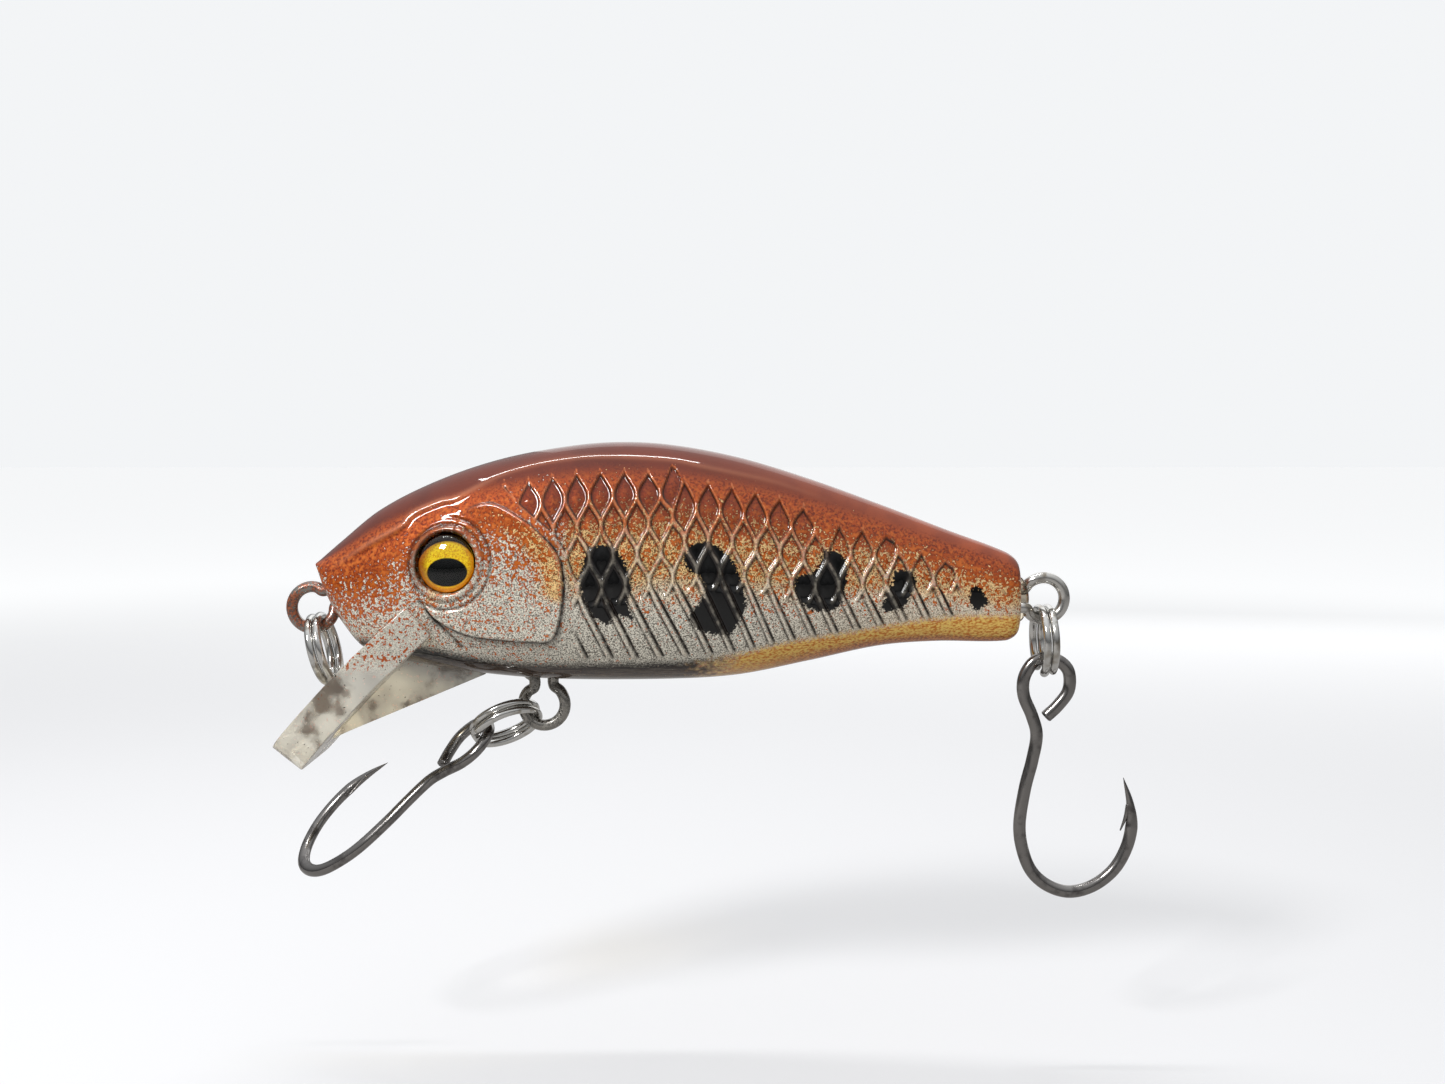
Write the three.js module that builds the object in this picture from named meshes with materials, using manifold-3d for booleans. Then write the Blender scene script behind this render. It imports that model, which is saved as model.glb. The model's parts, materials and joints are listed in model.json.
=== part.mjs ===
// A crankbait fishing lure: a minnow body in two hollow shells, a clear diving lip, three wire
// hangers, split rings, single hooks, domed eyes, ballast and rattle balls.
// Units are millimetres. The nose points towards -X, the tail towards +X, and +Z is up.
// The origin is the centre of the line-tie loop at the nose.

import * as THREE from 'three';
import { mergeVertices } from 'three/addons/utils/BufferGeometryUtils.js';
import Module from 'manifold-3d';

const wasm = await Module();
wasm.setup();

// ---------------------------------------------------------------- driving dimensions

const NOSE_X = 0.45;
const TAIL_X = 50.0;

// Outlines as [x, value]: the back and the belly in side view, the half-width in plan,
// and the height at which each section is widest.
const BACK = [[0.45, 3.25], [2.2, 4.75], [5, 6.95], [9, 8.95], [13, 10.36], [17, 11.2], [21, 11.64], [25, 11.5],
  [30, 10.6], [35, 9.1], [40, 7.3], [45, 5.4], [49, 3.9], [50, 3.2]];
const BELLY = [[0.45, 2.95], [1.25, 0.8], [2.3, -1.1], [3.8, -2.85], [7.9, -3.98], [12, -4.6], [17, -5.02],
  [25, -5.06], [30, -4.77], [35, -3.8], [40, -2.75], [44, -2.45], [49, -2.45], [50, -2.0]];
const HALF_WIDTH = [[0.45, 0.9], [1.2, 1.85], [2.6, 2.5], [5, 3.3], [8, 4.0], [12, 4.7], [16, 5.05], [20, 5.15],
  [25, 5.0], [30, 4.55], [35, 3.85], [40, 3.05], [45, 2.3], [49, 1.8], [50, 1.45]];
const WIDEST_AT = [[0.45, 3.1], [2, 1.5], [5, 1.0], [10, 1.2], [20, 1.8], [30, 1.6], [40, 1.0], [50, 0.6]];
const UPPER_POWER = 2.1;
const LOWER_POWER = 2.3;

const WALL = 1.2;
const FRONT_CAVITY = { from: 12.8, to: 31.4, floor: -1.0 };
const RATTLE_CAVITY = { from: 33.6, to: 43.8, floor: -0.35 };
const PEG = { radius: 0.7, reach: 1.5, clearance: 0.1, at: [[7.2, 5.6], [32.5, 3.6], [45.0, 1.0]] };

const HANGER_WIRE = 0.8;
const LOOP_RADIUS = 1.48;
const LOOP_PITCH = 3.3;
const CHANNEL_CLEARANCE = 0.1;
const HANGERS = {
  nose: { at: [0, 0], into: 29 },
  belly: { at: [16.25, -6.97], into: 90 },
  tail: { at: [51.8, 0.55], into: 180 },
};

const RING_WIRE = 0.55;
const RING_RADIUS = 2.33;
const RING_COIL_GAP = 0.04;
const RING_REACH = 3.02;
// swing: degrees forward of straight down; yaw: degrees about the ring's own radial line
const RINGS = {
  nose: { swing: -14, yaw: 0 },
  belly: { swing: 64, yaw: -30 },
  tail: { swing: -2, yaw: 0 },
};

const HOOK_WIRE = 0.9;
const HOOK_FLATNESS = 0.85;
// forward: degrees that the shank points forward of straight down; twist: degrees about the shank
const HOOKS = {
  belly: { forward: 51, twist: 115 },
  tail: { forward: 0, twist: 0 },
};

const LIP = {
  rootX: 8.15, rootZ: -0.55, rootPitch: 41, tipPitch: 51, length: 13.3,
  thickness: 2.55, rootHalfWidth: 4.35, tipHalfWidth: 4.85, cornerRadius: 1.7,
  dish: 1.35, webHalfWidth: 0.5, clearance: 0.06,
};

const EYE = { x: 10.07, z: 3.45, radius: 1.95, dome: 0.62, rim: 0.45, foil: 0.15, socketDepth: 0.85, clearance: 0.1 };

const BALLAST = { radius: 2.0, clearance: 0.1, z: -1.95, x: [21.3, 25.5, 29.7] };
const RATTLE = { radius: 1.5, z: 1.2, x: [35.4, 39.6] };

// ---------------------------------------------------------------- numbers and points

const degrees = (angle) => angle * Math.PI / 180;

// A smooth curve through [x, value] points, as a function of x: cubic Hermite spans.
function through(points) {
  const slope = points.map((_, i) => {
    const a = points[Math.max(i - 1, 0)];
    const b = points[Math.min(i + 1, points.length - 1)];
    return (b[1] - a[1]) / (b[0] - a[0]);
  });
  return (x) => {
    let i = 0;
    while (i < points.length - 2 && x > points[i + 1][0]) i += 1;
    const [x0, v0] = points[i];
    const [x1, v1] = points[i + 1];
    const step = x1 - x0;
    const t = THREE.MathUtils.clamp((x - x0) / step, 0, 1);
    const rise = t * t * (3 - 2 * t);
    const start = t * (1 - t) * (1 - t) * step * slope[i];
    const end = t * t * (t - 1) * step * slope[i + 1];
    return v0 + (v1 - v0) * rise + start + end;
  };
}

const backAt = through(BACK);
const bellyAt = through(BELLY);
const halfWidthAt = through(HALF_WIDTH);
const widestAt = through(WIDEST_AT);

// ---------------------------------------------------------------- solids

function geometryOf(positions, indices) {
  const geometry = new THREE.BufferGeometry();
  geometry.setAttribute('position', new THREE.Float32BufferAttribute(positions, 3));
  geometry.setIndex(indices);
  return geometry;
}

// Joins closed rings of points into one closed skin, with a fan over each end.
function skin(rings) {
  const around = rings[0].length;
  const positions = rings.flat().flatMap((p) => [p.x, p.y, p.z]);
  const indices = [];
  for (let i = 0; i < rings.length - 1; i += 1) {
    for (let j = 0; j < around; j += 1) {
      const a = i * around + j;
      const b = i * around + (j + 1) % around;
      indices.push(a, b, a + around, b, b + around, a + around);
    }
  }
  for (const [ring, turn] of [[0, 1], [rings.length - 1, -1]]) {
    const middle = new THREE.Vector3();
    rings[ring].forEach((p) => middle.addScaledVector(p, 1 / around));
    const centre = positions.length / 3;
    positions.push(middle.x, middle.y, middle.z);
    for (let j = 0; j < around; j += 1) {
      const a = ring * around + j;
      const b = ring * around + (j + 1) % around;
      if (turn > 0) indices.push(centre, b, a);
      else indices.push(centre, a, b);
    }
  }
  return geometryOf(positions, indices);
}

// A manifold solid from any closed geometry.
function solid(geometry) {
  const bare = geometry.clone();
  bare.deleteAttribute('normal');
  bare.deleteAttribute('uv');
  const merged = mergeVertices(bare, 1e-5);
  const corners = merged.index.array;
  const kept = [];
  for (let i = 0; i < corners.length; i += 3) {
    const [a, b, c] = corners.slice(i, i + 3);
    if (a !== b && b !== c && c !== a) kept.push(a, b, c);
  }
  const mesh = new wasm.Mesh({
    numProp: 3,
    vertProperties: merged.attributes.position.array,
    triVerts: new Uint32Array(kept),
  });
  const made = new wasm.Manifold(mesh);
  return made.volume() < 0 ? solid(flipped(geometry)) : made;
}

function flipped(geometry) {
  const turned = geometry.index ? geometry.clone() : mergeVertices(geometry);
  const corners = turned.index.array;
  for (let i = 0; i < corners.length; i += 3) {
    [corners[i + 1], corners[i + 2]] = [corners[i + 2], corners[i + 1]];
  }
  return turned;
}

function geometryFrom(manifold) {
  const mesh = manifold.getMesh();
  return geometryOf(mesh.vertProperties, Array.from(mesh.triVerts));
}

function joined(...solids) {
  return solids.reduce((a, b) => a.add(b));
}

function box(x0, x1, y0, y1, z0, z1) {
  const geometry = new THREE.BoxGeometry(x1 - x0, y1 - y0, z1 - z0);
  return solid(geometry.translate((x0 + x1) / 2, (y0 + y1) / 2, (z0 + z1) / 2));
}

// A round bar along Y.
function barAcross(x, z, radius, y0, y1, sides = 16) {
  const geometry = new THREE.CylinderGeometry(radius, radius, y1 - y0, sides);
  return solid(geometry.translate(x, (y0 + y1) / 2, z));
}

function ball(radius, sides = 16) {
  return new THREE.SphereGeometry(radius, sides, sides * 3 / 4);
}

// A round wire along a curve. radiusAt gives its radius at 0 to 1 along the curve.
function wire(curve, steps, sides, radiusAt) {
  const frames = curve.computeFrenetFrames(steps, false);
  const rings = [];
  for (let i = 0; i <= steps; i += 1) {
    const centre = curve.getPointAt(i / steps);
    const radius = radiusAt(i / steps);
    const ring = [];
    for (let j = 0; j < sides; j += 1) {
      const angle = (j + 0.5) / sides * Math.PI * 2;
      ring.push(centre.clone()
        .addScaledVector(frames.normals[i], radius * Math.cos(angle))
        .addScaledVector(frames.binormals[i], radius * Math.sin(angle)));
    }
    rings.push(ring);
  }
  return skin(rings);
}

// ---------------------------------------------------------------- body

// The body's half-width at a place on the flank, drawn in by an inset.
function flank(x, z, inset = 0) {
  const middle = widestAt(x);
  const up = z > middle;
  const edge = up ? backAt(x) - inset : bellyAt(x) + inset;
  const share = Math.min(Math.abs((z - middle) / (edge - middle)), 1);
  const power = up ? UPPER_POWER : LOWER_POWER;
  return (halfWidthAt(x) - inset) * (1 - share ** power) ** (1 / power);
}

// One section of the body across X, drawn in by an inset, with a flat floor if one is given.
function section(x, inset, floor, points) {
  const middle = widestAt(x);
  const ring = [];
  for (let j = 0; j < points; j += 1) {
    const angle = j / points * Math.PI * 2;
    const across = Math.sin(angle);
    const up = Math.cos(angle);
    const power = up > 0 ? UPPER_POWER : LOWER_POWER;
    const edge = up > 0 ? backAt(x) - inset : bellyAt(x) + inset;
    const y = Math.sign(across) * (halfWidthAt(x) - inset) * Math.abs(across) ** (2 / power);
    const z = middle + (edge - middle) * Math.abs(up) ** (2 / power);
    ring.push(new THREE.Vector3(x, y, Math.max(z, floor)));
  }
  return ring;
}

function stations(from, to, count, crowd = 0) {
  const list = [];
  for (let i = 0; i <= count; i += 1) {
    const t = i / count;
    list.push(from + (to - from) * (t - crowd * Math.sin(2 * Math.PI * t) / (2 * Math.PI)));
  }
  return list;
}

function bodyOutside() {
  return solid(skin(stations(NOSE_X, TAIL_X, 26, 0.75).map((x) => section(x, 0, -Infinity, 28))));
}

function cavity({ from, to, floor }) {
  return solid(skin(stations(from, to, 6).map((x) => section(x, WALL, floor, 16))));
}

// ---------------------------------------------------------------- wire hangers

// A figure-eight of wire in the XZ plane: the outer loop stands at the origin, the inner one
// LOOP_PITCH along +X. Its two strands pass side by side where they cross.
function hangerCurve() {
  const leave = Math.acos(2 * LOOP_RADIUS / LOOP_PITCH);
  const aside = HANGER_WIRE / 2 + 0.02;
  const settle = degrees(50);
  const points = [];
  const arc = (centre, facing, start, end, steps, side) => {
    for (let i = 0; i <= steps; i += 1) {
      const angle = start + (end - start) * i / steps;
      const fromCrossing = Math.min(angle, 2 * Math.PI - angle) - leave;
      const fade = Math.max(0, 1 - fromCrossing / settle) ** 1.5;
      points.push(new THREE.Vector3(
        centre + facing * LOOP_RADIUS * Math.cos(angle),
        side(angle) * aside * fade,
        LOOP_RADIUS * Math.sin(angle) * facing,
      ));
    }
  };
  const gap = degrees(20);
  const outerSide = (angle) => (angle < Math.PI ? -1 : 1);
  arc(LOOP_PITCH, -1, Math.PI + gap, 2 * Math.PI - leave, 6, () => -1);
  arc(0, 1, leave, 2 * Math.PI - leave, 14, outerSide);
  arc(LOOP_PITCH, -1, leave, Math.PI - gap, 6, () => 1);
  return new THREE.CatmullRomCurve3(points, false, 'centripetal');
}

function placeHanger(geometry, { at, into }) {
  return geometry.rotateY(-degrees(into)).translate(at[0], 0, at[1]);
}

function hangerWire(place) {
  return placeHanger(wire(hangerCurve(), 46, 6, () => HANGER_WIRE / 2), place);
}

// The room that a hanger takes in the shells: a channel round its wire, and a slot at the crossing.
function hangerRoom(place) {
  const radius = HANGER_WIRE / 2 + CHANNEL_CLEARANCE;
  const channel = placeHanger(wire(hangerCurve(), 36, 6, () => radius / Math.cos(Math.PI / 6)), place);
  const slot = new THREE.BoxGeometry(1.9, 2 * HANGER_WIRE + 0.24, 1.5).translate(LOOP_PITCH / 2, 0, 0);
  return joined(solid(channel), solid(placeHanger(slot, place)));
}

// ---------------------------------------------------------------- split rings

// Two turns of wire, side by side along X, joined by a kink: the ring lies in the YZ plane.
function ringCurve() {
  const shift = (RING_WIRE + RING_COIL_GAP) / 2;
  const kink = degrees(26);
  const points = [];
  const steps = 40;
  for (let i = 0; i <= steps; i += 1) {
    const angle = kink + (4 * Math.PI - 2 * kink) * i / steps;
    const past = THREE.MathUtils.clamp((angle - 2 * Math.PI) / kink, -1, 1);
    const aside = shift * Math.sin(past * Math.PI / 2);
    points.push(new THREE.Vector3(aside, RING_RADIUS * Math.sin(angle), -RING_RADIUS * Math.cos(angle)));
  }
  return new THREE.CatmullRomCurve3(points, false, 'centripetal');
}

// Where a ring or a hook hangs from: a turn about Y that leads forward of straight down.
function ringPose(name) {
  const { swing, yaw } = RINGS[name];
  const [x, z] = HANGERS[name].at;
  return new THREE.Matrix4().makeTranslation(x, 0, z)
    .multiply(new THREE.Matrix4().makeRotationY(degrees(swing)))
    .multiply(new THREE.Matrix4().makeRotationZ(degrees(yaw)));
}

function splitRing(name) {
  const geometry = wire(ringCurve(), 52, 6, () => RING_WIRE / 2).translate(0, 0, -RING_REACH);
  return geometry.applyMatrix4(ringPose(name));
}

// ---------------------------------------------------------------- hooks

// A single hook with an open eye, in the XZ plane: the wire it hangs from passes through the
// origin, the shank runs down and the gap opens towards +X.
const HOOK_LINE = [[0.05, -3.2], [0.95, -2.35], [1.7, -1.25], [1.7, 0.05], [1.05, 0.82], [0.1, 1.08],
  [-0.85, 0.74], [-1.5, -0.35], [-1.5, -1.65], [-0.9, -3.1], [-0.55, -4.5], [-0.85, -6.35], [-1.35, -8.4],
  [-1.7, -10.95], [-1.45, -12.85], [-0.75, -14.45], [0.5, -15.5], [2.05, -15.9], [3.7, -15.45], [5.15, -14.3],
  [6.05, -12.7], [6.4, -11], [6.25, -9.4], [5.75, -7.6]];
const HOOK_POINT = 0.1;
const BARB = [[6.15, -9.85], [5.6, -11.5], [6.1, -11.2]];

function hook() {
  const curve = new THREE.CatmullRomCurve3(HOOK_LINE.map(([x, z]) => new THREE.Vector3(x, 0, z)), false, 'centripetal');
  const radiusAt = (t) => HOOK_WIRE / 2 * Math.max(Math.min(1, (1 - t) / HOOK_POINT) ** 0.8, 0.08);
  const shape = new THREE.Shape(BARB.map(([x, z]) => new THREE.Vector2(x, z)));
  const fin = new THREE.ExtrudeGeometry(shape, { depth: 0.3, bevelEnabled: false });
  fin.translate(0, 0, -0.15).rotateX(Math.PI / 2);
  return joined(solid(wire(curve, 64, 6, radiusAt).scale(1, HOOK_FLATNESS, 1)), solid(fin));
}

function placedHook(name) {
  const { forward, twist } = HOOKS[name];
  const far = new THREE.Vector3(0, 0, -RING_REACH - RING_RADIUS).applyMatrix4(ringPose(name));
  const geometry = geometryFrom(hook());
  geometry.rotateZ(degrees(twist)).rotateY(degrees(forward));
  return geometry.translate(far.x, far.y, far.z);
}

// ---------------------------------------------------------------- diving lip

// The lip's middle line: [x, z] and the pitch in radians at a distance s from its root.
function lipAt(s) {
  const turn = degrees(LIP.tipPitch - LIP.rootPitch) / LIP.length;
  const start = degrees(LIP.rootPitch);
  const pitch = start + turn * s;
  const x = LIP.rootX - (Math.sin(pitch) - Math.sin(start)) / turn;
  const z = LIP.rootZ + (Math.cos(pitch) - Math.cos(start)) / turn;
  return { x, z, pitch };
}

function lipHalfWidth(s) {
  const full = THREE.MathUtils.lerp(LIP.rootHalfWidth, LIP.tipHalfWidth, s / LIP.length);
  const into = Math.max(0, s - (LIP.length - LIP.cornerRadius));
  return full - LIP.cornerRadius + Math.sqrt(LIP.cornerRadius ** 2 - into ** 2);
}

function lipBlade(grow) {
  const across = 12;
  const rings = [];
  const places = [-grow, 0, 2.5, 5, 7.5, 10, 11.6, 12.3, 12.8, 13.15, LIP.length];
  for (const s of places) {
    const { x, z, pitch } = lipAt(s);
    const dish = LIP.dish * THREE.MathUtils.smoothstep(s, 4, 9);
    const half = lipHalfWidth(Math.max(s, 0)) + grow;
    const ring = [];
    const put = (y, up) => {
      ring.push(new THREE.Vector3(x - up * Math.sin(pitch), y, z + up * Math.cos(pitch)));
    };
    for (let i = 0; i <= across; i += 1) {
      const t = i / across * 2 - 1;
      put(t * half, LIP.thickness / 2 + grow - dish * (1 - t * t));
    }
    for (let i = 0; i <= across; i += 1) {
      const t = 1 - i / across * 2;
      put(t * half, -LIP.thickness / 2 - grow);
    }
    rings.push(ring);
  }
  return solid(skin(rings));
}

// A plate in the XZ plane from its outline, as wide as half on each side of Y = 0.
function plate(outline, half) {
  const shape = new THREE.Shape(outline.map(([x, z]) => new THREE.Vector2(x, z)));
  const geometry = new THREE.ExtrudeGeometry(shape, { depth: 2 * half, bevelEnabled: false });
  return solid(geometry.translate(0, 0, -half).rotateX(Math.PI / 2));
}

const WEB = [[12.2, -3.4], [12.2, -4.7], [6.3, -7.15], [2.6, -8.7], [1.3, -9.3], [4.0, -6.0], [9.0, -1.3]];
const TENON = [[7.3, -0.3], [8.5, -1.6], [11.1, 0.85], [9.9, 2.15]];
const TENON_PIN = { x: 9.8, z: 0.8, hole: 0.6, radius: 0.5 };

function divingLip(grow) {
  const whole = joined(lipBlade(grow), plate(WEB, LIP.webHalfWidth + grow), plate(TENON, 1.5 + grow));
  const { x, z, hole, radius } = TENON_PIN;
  const bore = grow > 0 ? radius : hole;
  return whole.subtract(barAcross(x, z, bore, -2, 2));
}

// ---------------------------------------------------------------- eyes

// The flank's place and outward direction at the eye, on the side given by the sign.
function eyePlace(side) {
  const step = 0.05;
  const { x, z } = EYE;
  const slopeX = (flank(x + step, z) - flank(x - step, z)) / (2 * step);
  const slopeZ = (flank(x, z + step) - flank(x, z - step)) / (2 * step);
  const out = new THREE.Vector3(-slopeX, side, -slopeZ).normalize();
  const turn = new THREE.Quaternion().setFromUnitVectors(new THREE.Vector3(0, 1, 0), out);
  return { at: new THREE.Vector3(x, side * flank(x, z), z), turn };
}

function placeEye(object, side) {
  const { at, turn } = eyePlace(side);
  return object.applyQuaternion(turn).translate(at.x, at.y, at.z);
}

function eyeLens() {
  const bottom = -EYE.socketDepth + EYE.foil + 0.1;
  const profile = [new THREE.Vector2(0, bottom), new THREE.Vector2(EYE.radius, bottom)];
  const rim = bottom + EYE.rim;
  const arcs = 5;
  for (let i = 0; i <= arcs; i += 1) {
    const angle = i / arcs * Math.PI / 2;
    profile.push(new THREE.Vector2(EYE.radius * Math.cos(angle), rim + EYE.dome * Math.sin(angle)));
  }
  return new THREE.LatheGeometry(profile, 20);
}

function eyeFoil() {
  const middle = -EYE.socketDepth + 0.05 + EYE.foil / 2;
  return new THREE.CylinderGeometry(EYE.radius, EYE.radius, EYE.foil, 24).translate(0, middle, 0);
}

function eyeSocket() {
  const radius = EYE.radius + EYE.clearance;
  const top = 1.5;
  const depth = EYE.socketDepth;
  return new THREE.CylinderGeometry(radius, radius, top + depth, 24).translate(0, (top - depth) / 2, 0);
}

// ---------------------------------------------------------------- shells

function bodyShells() {
  let body = bodyOutside().subtract(cavity(FRONT_CAVITY)).subtract(cavity(RATTLE_CAVITY));
  for (const place of Object.values(HANGERS)) body = body.subtract(hangerRoom(place));
  body = body.subtract(divingLip(LIP.clearance));
  for (const side of [-1, 1]) body = body.subtract(solid(placeEye(eyeSocket(), side)));
  for (const x of BALLAST.x) {
    const room = ball(BALLAST.radius + BALLAST.clearance).rotateX(Math.PI / 2).translate(x, 0, BALLAST.z);
    body = body.subtract(solid(room));
  }
  const far = 100;
  let left = body.intersect(box(-far, far, -far, 0, -far, far));
  let right = body.intersect(box(-far, far, 0, far, -far, far));
  for (const [x, z] of PEG.at) {
    left = left.add(barAcross(x, z, PEG.radius, -0.5, PEG.reach, 12));
    right = right.subtract(barAcross(x, z, PEG.radius + PEG.clearance, -1, PEG.reach + 0.3, 12));
  }
  return { left, right };
}

// ---------------------------------------------------------------- materials and assembly

const colour = (hex, roughness, metalness = 0) => ({ color: hex, roughness, metalness });
const PAINT = colour(0x9c4a26, 0.2);
const CLEAR = { ...colour(0xb9ad98, 0.15), transparent: true, opacity: 0.55 };
const LENS = { ...colour(0xf2f2ee, 0.05), transparent: true, opacity: 0.35 };
const FOIL = colour(0xd9a514, 0.3, 0.7);
const HANGER_STEEL = colour(0x8f8a86, 0.45, 0.9);
const RING_STEEL = colour(0xc8c7c4, 0.25, 1);
const HOOK_STEEL = colour(0x4a4b50, 0.25, 1);
const BALL_STEEL = colour(0xa8a8a8, 0.3, 1);

const lure = new THREE.Group();
lure.name = 'crankbait_lure';

function add(name, shape, material) {
  const geometry = shape instanceof THREE.BufferGeometry ? shape : geometryFrom(shape);
  const mesh = new THREE.Mesh(geometry, new THREE.MeshStandardMaterial(material));
  mesh.name = name;
  lure.add(mesh);
  return mesh;
}

const shells = bodyShells();
add('left_body_shell', shells.left, PAINT);
add('right_body_shell', shells.right, PAINT);
add('diving_lip', divingLip(0), CLEAR);

for (const [name, side] of [['left', -1], ['right', 1]]) {
  add(`${name}_eye_foil`, solid(placeEye(eyeFoil(), side)), FOIL);
  add(`${name}_eye_lens`, solid(placeEye(eyeLens(), side)), LENS);
}

for (const name of Object.keys(HANGERS)) {
  add(`${name}_hanger`, solid(hangerWire(HANGERS[name])), HANGER_STEEL);
  add(`${name}_split_ring`, solid(splitRing(name)), RING_STEEL);
}

for (const name of Object.keys(HOOKS)) add(`${name}_hook`, placedHook(name), HOOK_STEEL);

const series = [['ballast_ball', BALLAST], ['rattle_ball', RATTLE]];
for (const [name, { radius, x, z }] of series) {
  x.forEach((place, i) => {
    const mesh = add(`${name}_${i + 1}`, solid(ball(radius, 12)), BALL_STEEL);
    mesh.position.set(place, 0, z);
  });
}

export default lure;
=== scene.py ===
"""A painted crankbait on a pale floor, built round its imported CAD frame.

The body is two moulded halves with a scaled, airbrushed skin under a clear coat. It carries a
clear diving lip, domed eyes and three wire loops; two single hooks and a line ring hang from them.
Shapes are drawn in millimetres in the frame's own axes: +X to the tail, +Y to the left, +Z up.
"""
import json
import math

import bmesh
import bpy
import numpy as np
from mathutils import Matrix, Vector


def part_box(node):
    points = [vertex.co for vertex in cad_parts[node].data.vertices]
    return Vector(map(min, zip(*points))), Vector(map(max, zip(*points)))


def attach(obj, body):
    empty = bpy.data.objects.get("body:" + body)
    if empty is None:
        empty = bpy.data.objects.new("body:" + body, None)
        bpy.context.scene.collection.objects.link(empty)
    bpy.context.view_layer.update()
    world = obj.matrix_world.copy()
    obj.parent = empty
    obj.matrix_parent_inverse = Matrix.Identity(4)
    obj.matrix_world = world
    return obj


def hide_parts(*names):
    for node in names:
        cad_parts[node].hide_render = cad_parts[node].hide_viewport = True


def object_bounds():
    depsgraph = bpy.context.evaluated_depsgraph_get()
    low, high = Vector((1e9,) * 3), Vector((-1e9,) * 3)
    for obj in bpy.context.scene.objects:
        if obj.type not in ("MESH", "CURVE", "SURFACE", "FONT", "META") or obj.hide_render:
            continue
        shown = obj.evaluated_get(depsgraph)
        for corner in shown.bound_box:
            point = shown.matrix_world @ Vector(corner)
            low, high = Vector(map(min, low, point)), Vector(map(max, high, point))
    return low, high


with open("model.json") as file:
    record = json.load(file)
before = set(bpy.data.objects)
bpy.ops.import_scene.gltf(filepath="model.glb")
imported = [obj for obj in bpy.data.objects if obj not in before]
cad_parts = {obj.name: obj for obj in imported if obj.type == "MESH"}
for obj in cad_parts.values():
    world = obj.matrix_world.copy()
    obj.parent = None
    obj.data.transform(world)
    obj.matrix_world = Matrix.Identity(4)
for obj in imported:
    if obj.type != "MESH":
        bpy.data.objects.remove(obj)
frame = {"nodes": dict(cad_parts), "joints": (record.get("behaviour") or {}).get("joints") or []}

cad_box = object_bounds()

MM = 0.001

# -------- driving sizes of the frame

# Outlines as (x, value): the back and the belly in side view, the half-width in plan,
# and the height at which the body is widest.
BACK = [
    (0.45, 3.25), (2.2, 4.75), (5, 6.95), (9, 8.95), (13, 10.36), (17, 11.2), (21, 11.64),
    (25, 11.5), (30, 10.6), (35, 9.1), (40, 7.3), (45, 5.4), (49, 3.9), (50, 3.2),
]
BELLY = [
    (0.45, 2.95), (1.25, 0.8), (2.3, -1.1), (3.8, -2.85), (7.9, -3.98), (12, -4.6), (17, -5.02),
    (25, -5.06), (30, -4.77), (35, -3.8), (40, -2.75), (44, -2.45), (49, -2.45), (50, -2.0),
]
HALF_WIDTH = [
    (0.45, 0.9), (1.2, 1.85), (2.6, 2.5), (5, 3.3), (8, 4.0), (12, 4.7), (16, 5.05), (20, 5.15),
    (25, 5.0), (30, 4.55), (35, 3.85), (40, 3.05), (45, 2.3), (49, 1.8), (50, 1.45),
]
WIDEST_AT = [(0.45, 3.1), (2, 1.5), (5, 1.0), (10, 1.2), (20, 1.8), (30, 1.6), (40, 1.0), (50, 0.6)]
UPPER_POWER = 2.1
LOWER_POWER = 2.3
NOSE_X = 0.45
TAIL_X = 50.0
WALL = 1.2
CAVITIES = [(12.8, 31.4, -1.0), (33.6, 43.8, -0.35)]

HANGER_WIRE = 0.8
LOOP_RADIUS = 1.48
LOOP_PITCH = 3.3
LOOP_SETTLE = math.radians(50)
LOOP_GAP = math.radians(20)
HANGERS = {"nose": 29, "belly": 90, "tail": 180}

RING_WIRE = 0.55
RING_RADIUS = 2.33
RING_COIL_GAP = 0.04
RING_REACH = 3.02
RING_KINK = math.radians(26)
RING_POINTS = 300
RINGS = {"nose": (-14, 0), "belly": (64, -30), "tail": (-2, 0)}

HOOK_WIRE = 0.9
HOOK_FLATNESS = 0.85
HOOK_DROP = 5.35
HOOKS = {"belly": (51, 115), "tail": (0, 0)}
HOOK_LINE = [
    (0.05, -3.2), (0.95, -2.35), (1.7, -1.25), (1.7, 0.05), (1.05, 0.82), (0.1, 1.08),
    (-0.85, 0.74), (-1.5, -0.35), (-1.5, -1.65), (-0.9, -3.1), (-0.55, -4.5), (-0.85, -6.35),
    (-1.35, -8.4), (-1.7, -10.95), (-1.45, -12.85), (-0.75, -14.45), (0.5, -15.5), (2.05, -15.9),
    (3.7, -15.45), (5.15, -14.3), (6.05, -12.7), (6.4, -11), (6.25, -9.4), (5.75, -7.6),
]
# The share of a hook's length that tapers, how roundly, and the share of width left at the tip.
POINT_SHARE = 0.1
POINT_ROUNDING = 0.8
POINT_TIP = 0.05
BARB_LINE = [(6.2, -9.55), (5.95, -10.5), (5.58, -11.45)]
BARB_RADII = (0.24, 0.05)

EYE_X = 10.07
EYE_Z = 3.45
EYE_RADIUS = 1.95
EYE_DOME = 0.62
EYE_RIM = 0.15
EYE_DEPTH = 0.6
EYE_CUP = 0.4
FOIL_THICKNESS = 0.1
FOIL_OVERHANG = 0.03
FOIL_DROP = 0.02
LENS_SINK = 0.03
PUPIL_PLACE = -0.55
PUPIL_HALF_WIDTH = 1.27
PUPIL_HALF_HEIGHT = 0.88
# Where the dark crescent of painted shade from the socket's edge lies on the eye's foil.
CRESCENT_SHADE_CENTRE = -0.6
CRESCENT_SHADE_RADIUS = 1.94
SOCKET_RADIUS = 2.06
SOCKET_DEPTH = 0.95

# -------- artwork on the flanks

# Places on a flank are (x, z) as seen square on from ART_DISTANCE away, aimed at ART_CENTRE.
ART_CENTRE = (28.93, 4.6)
ART_DISTANCE = 105
ART_DIP = 0.06

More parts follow.
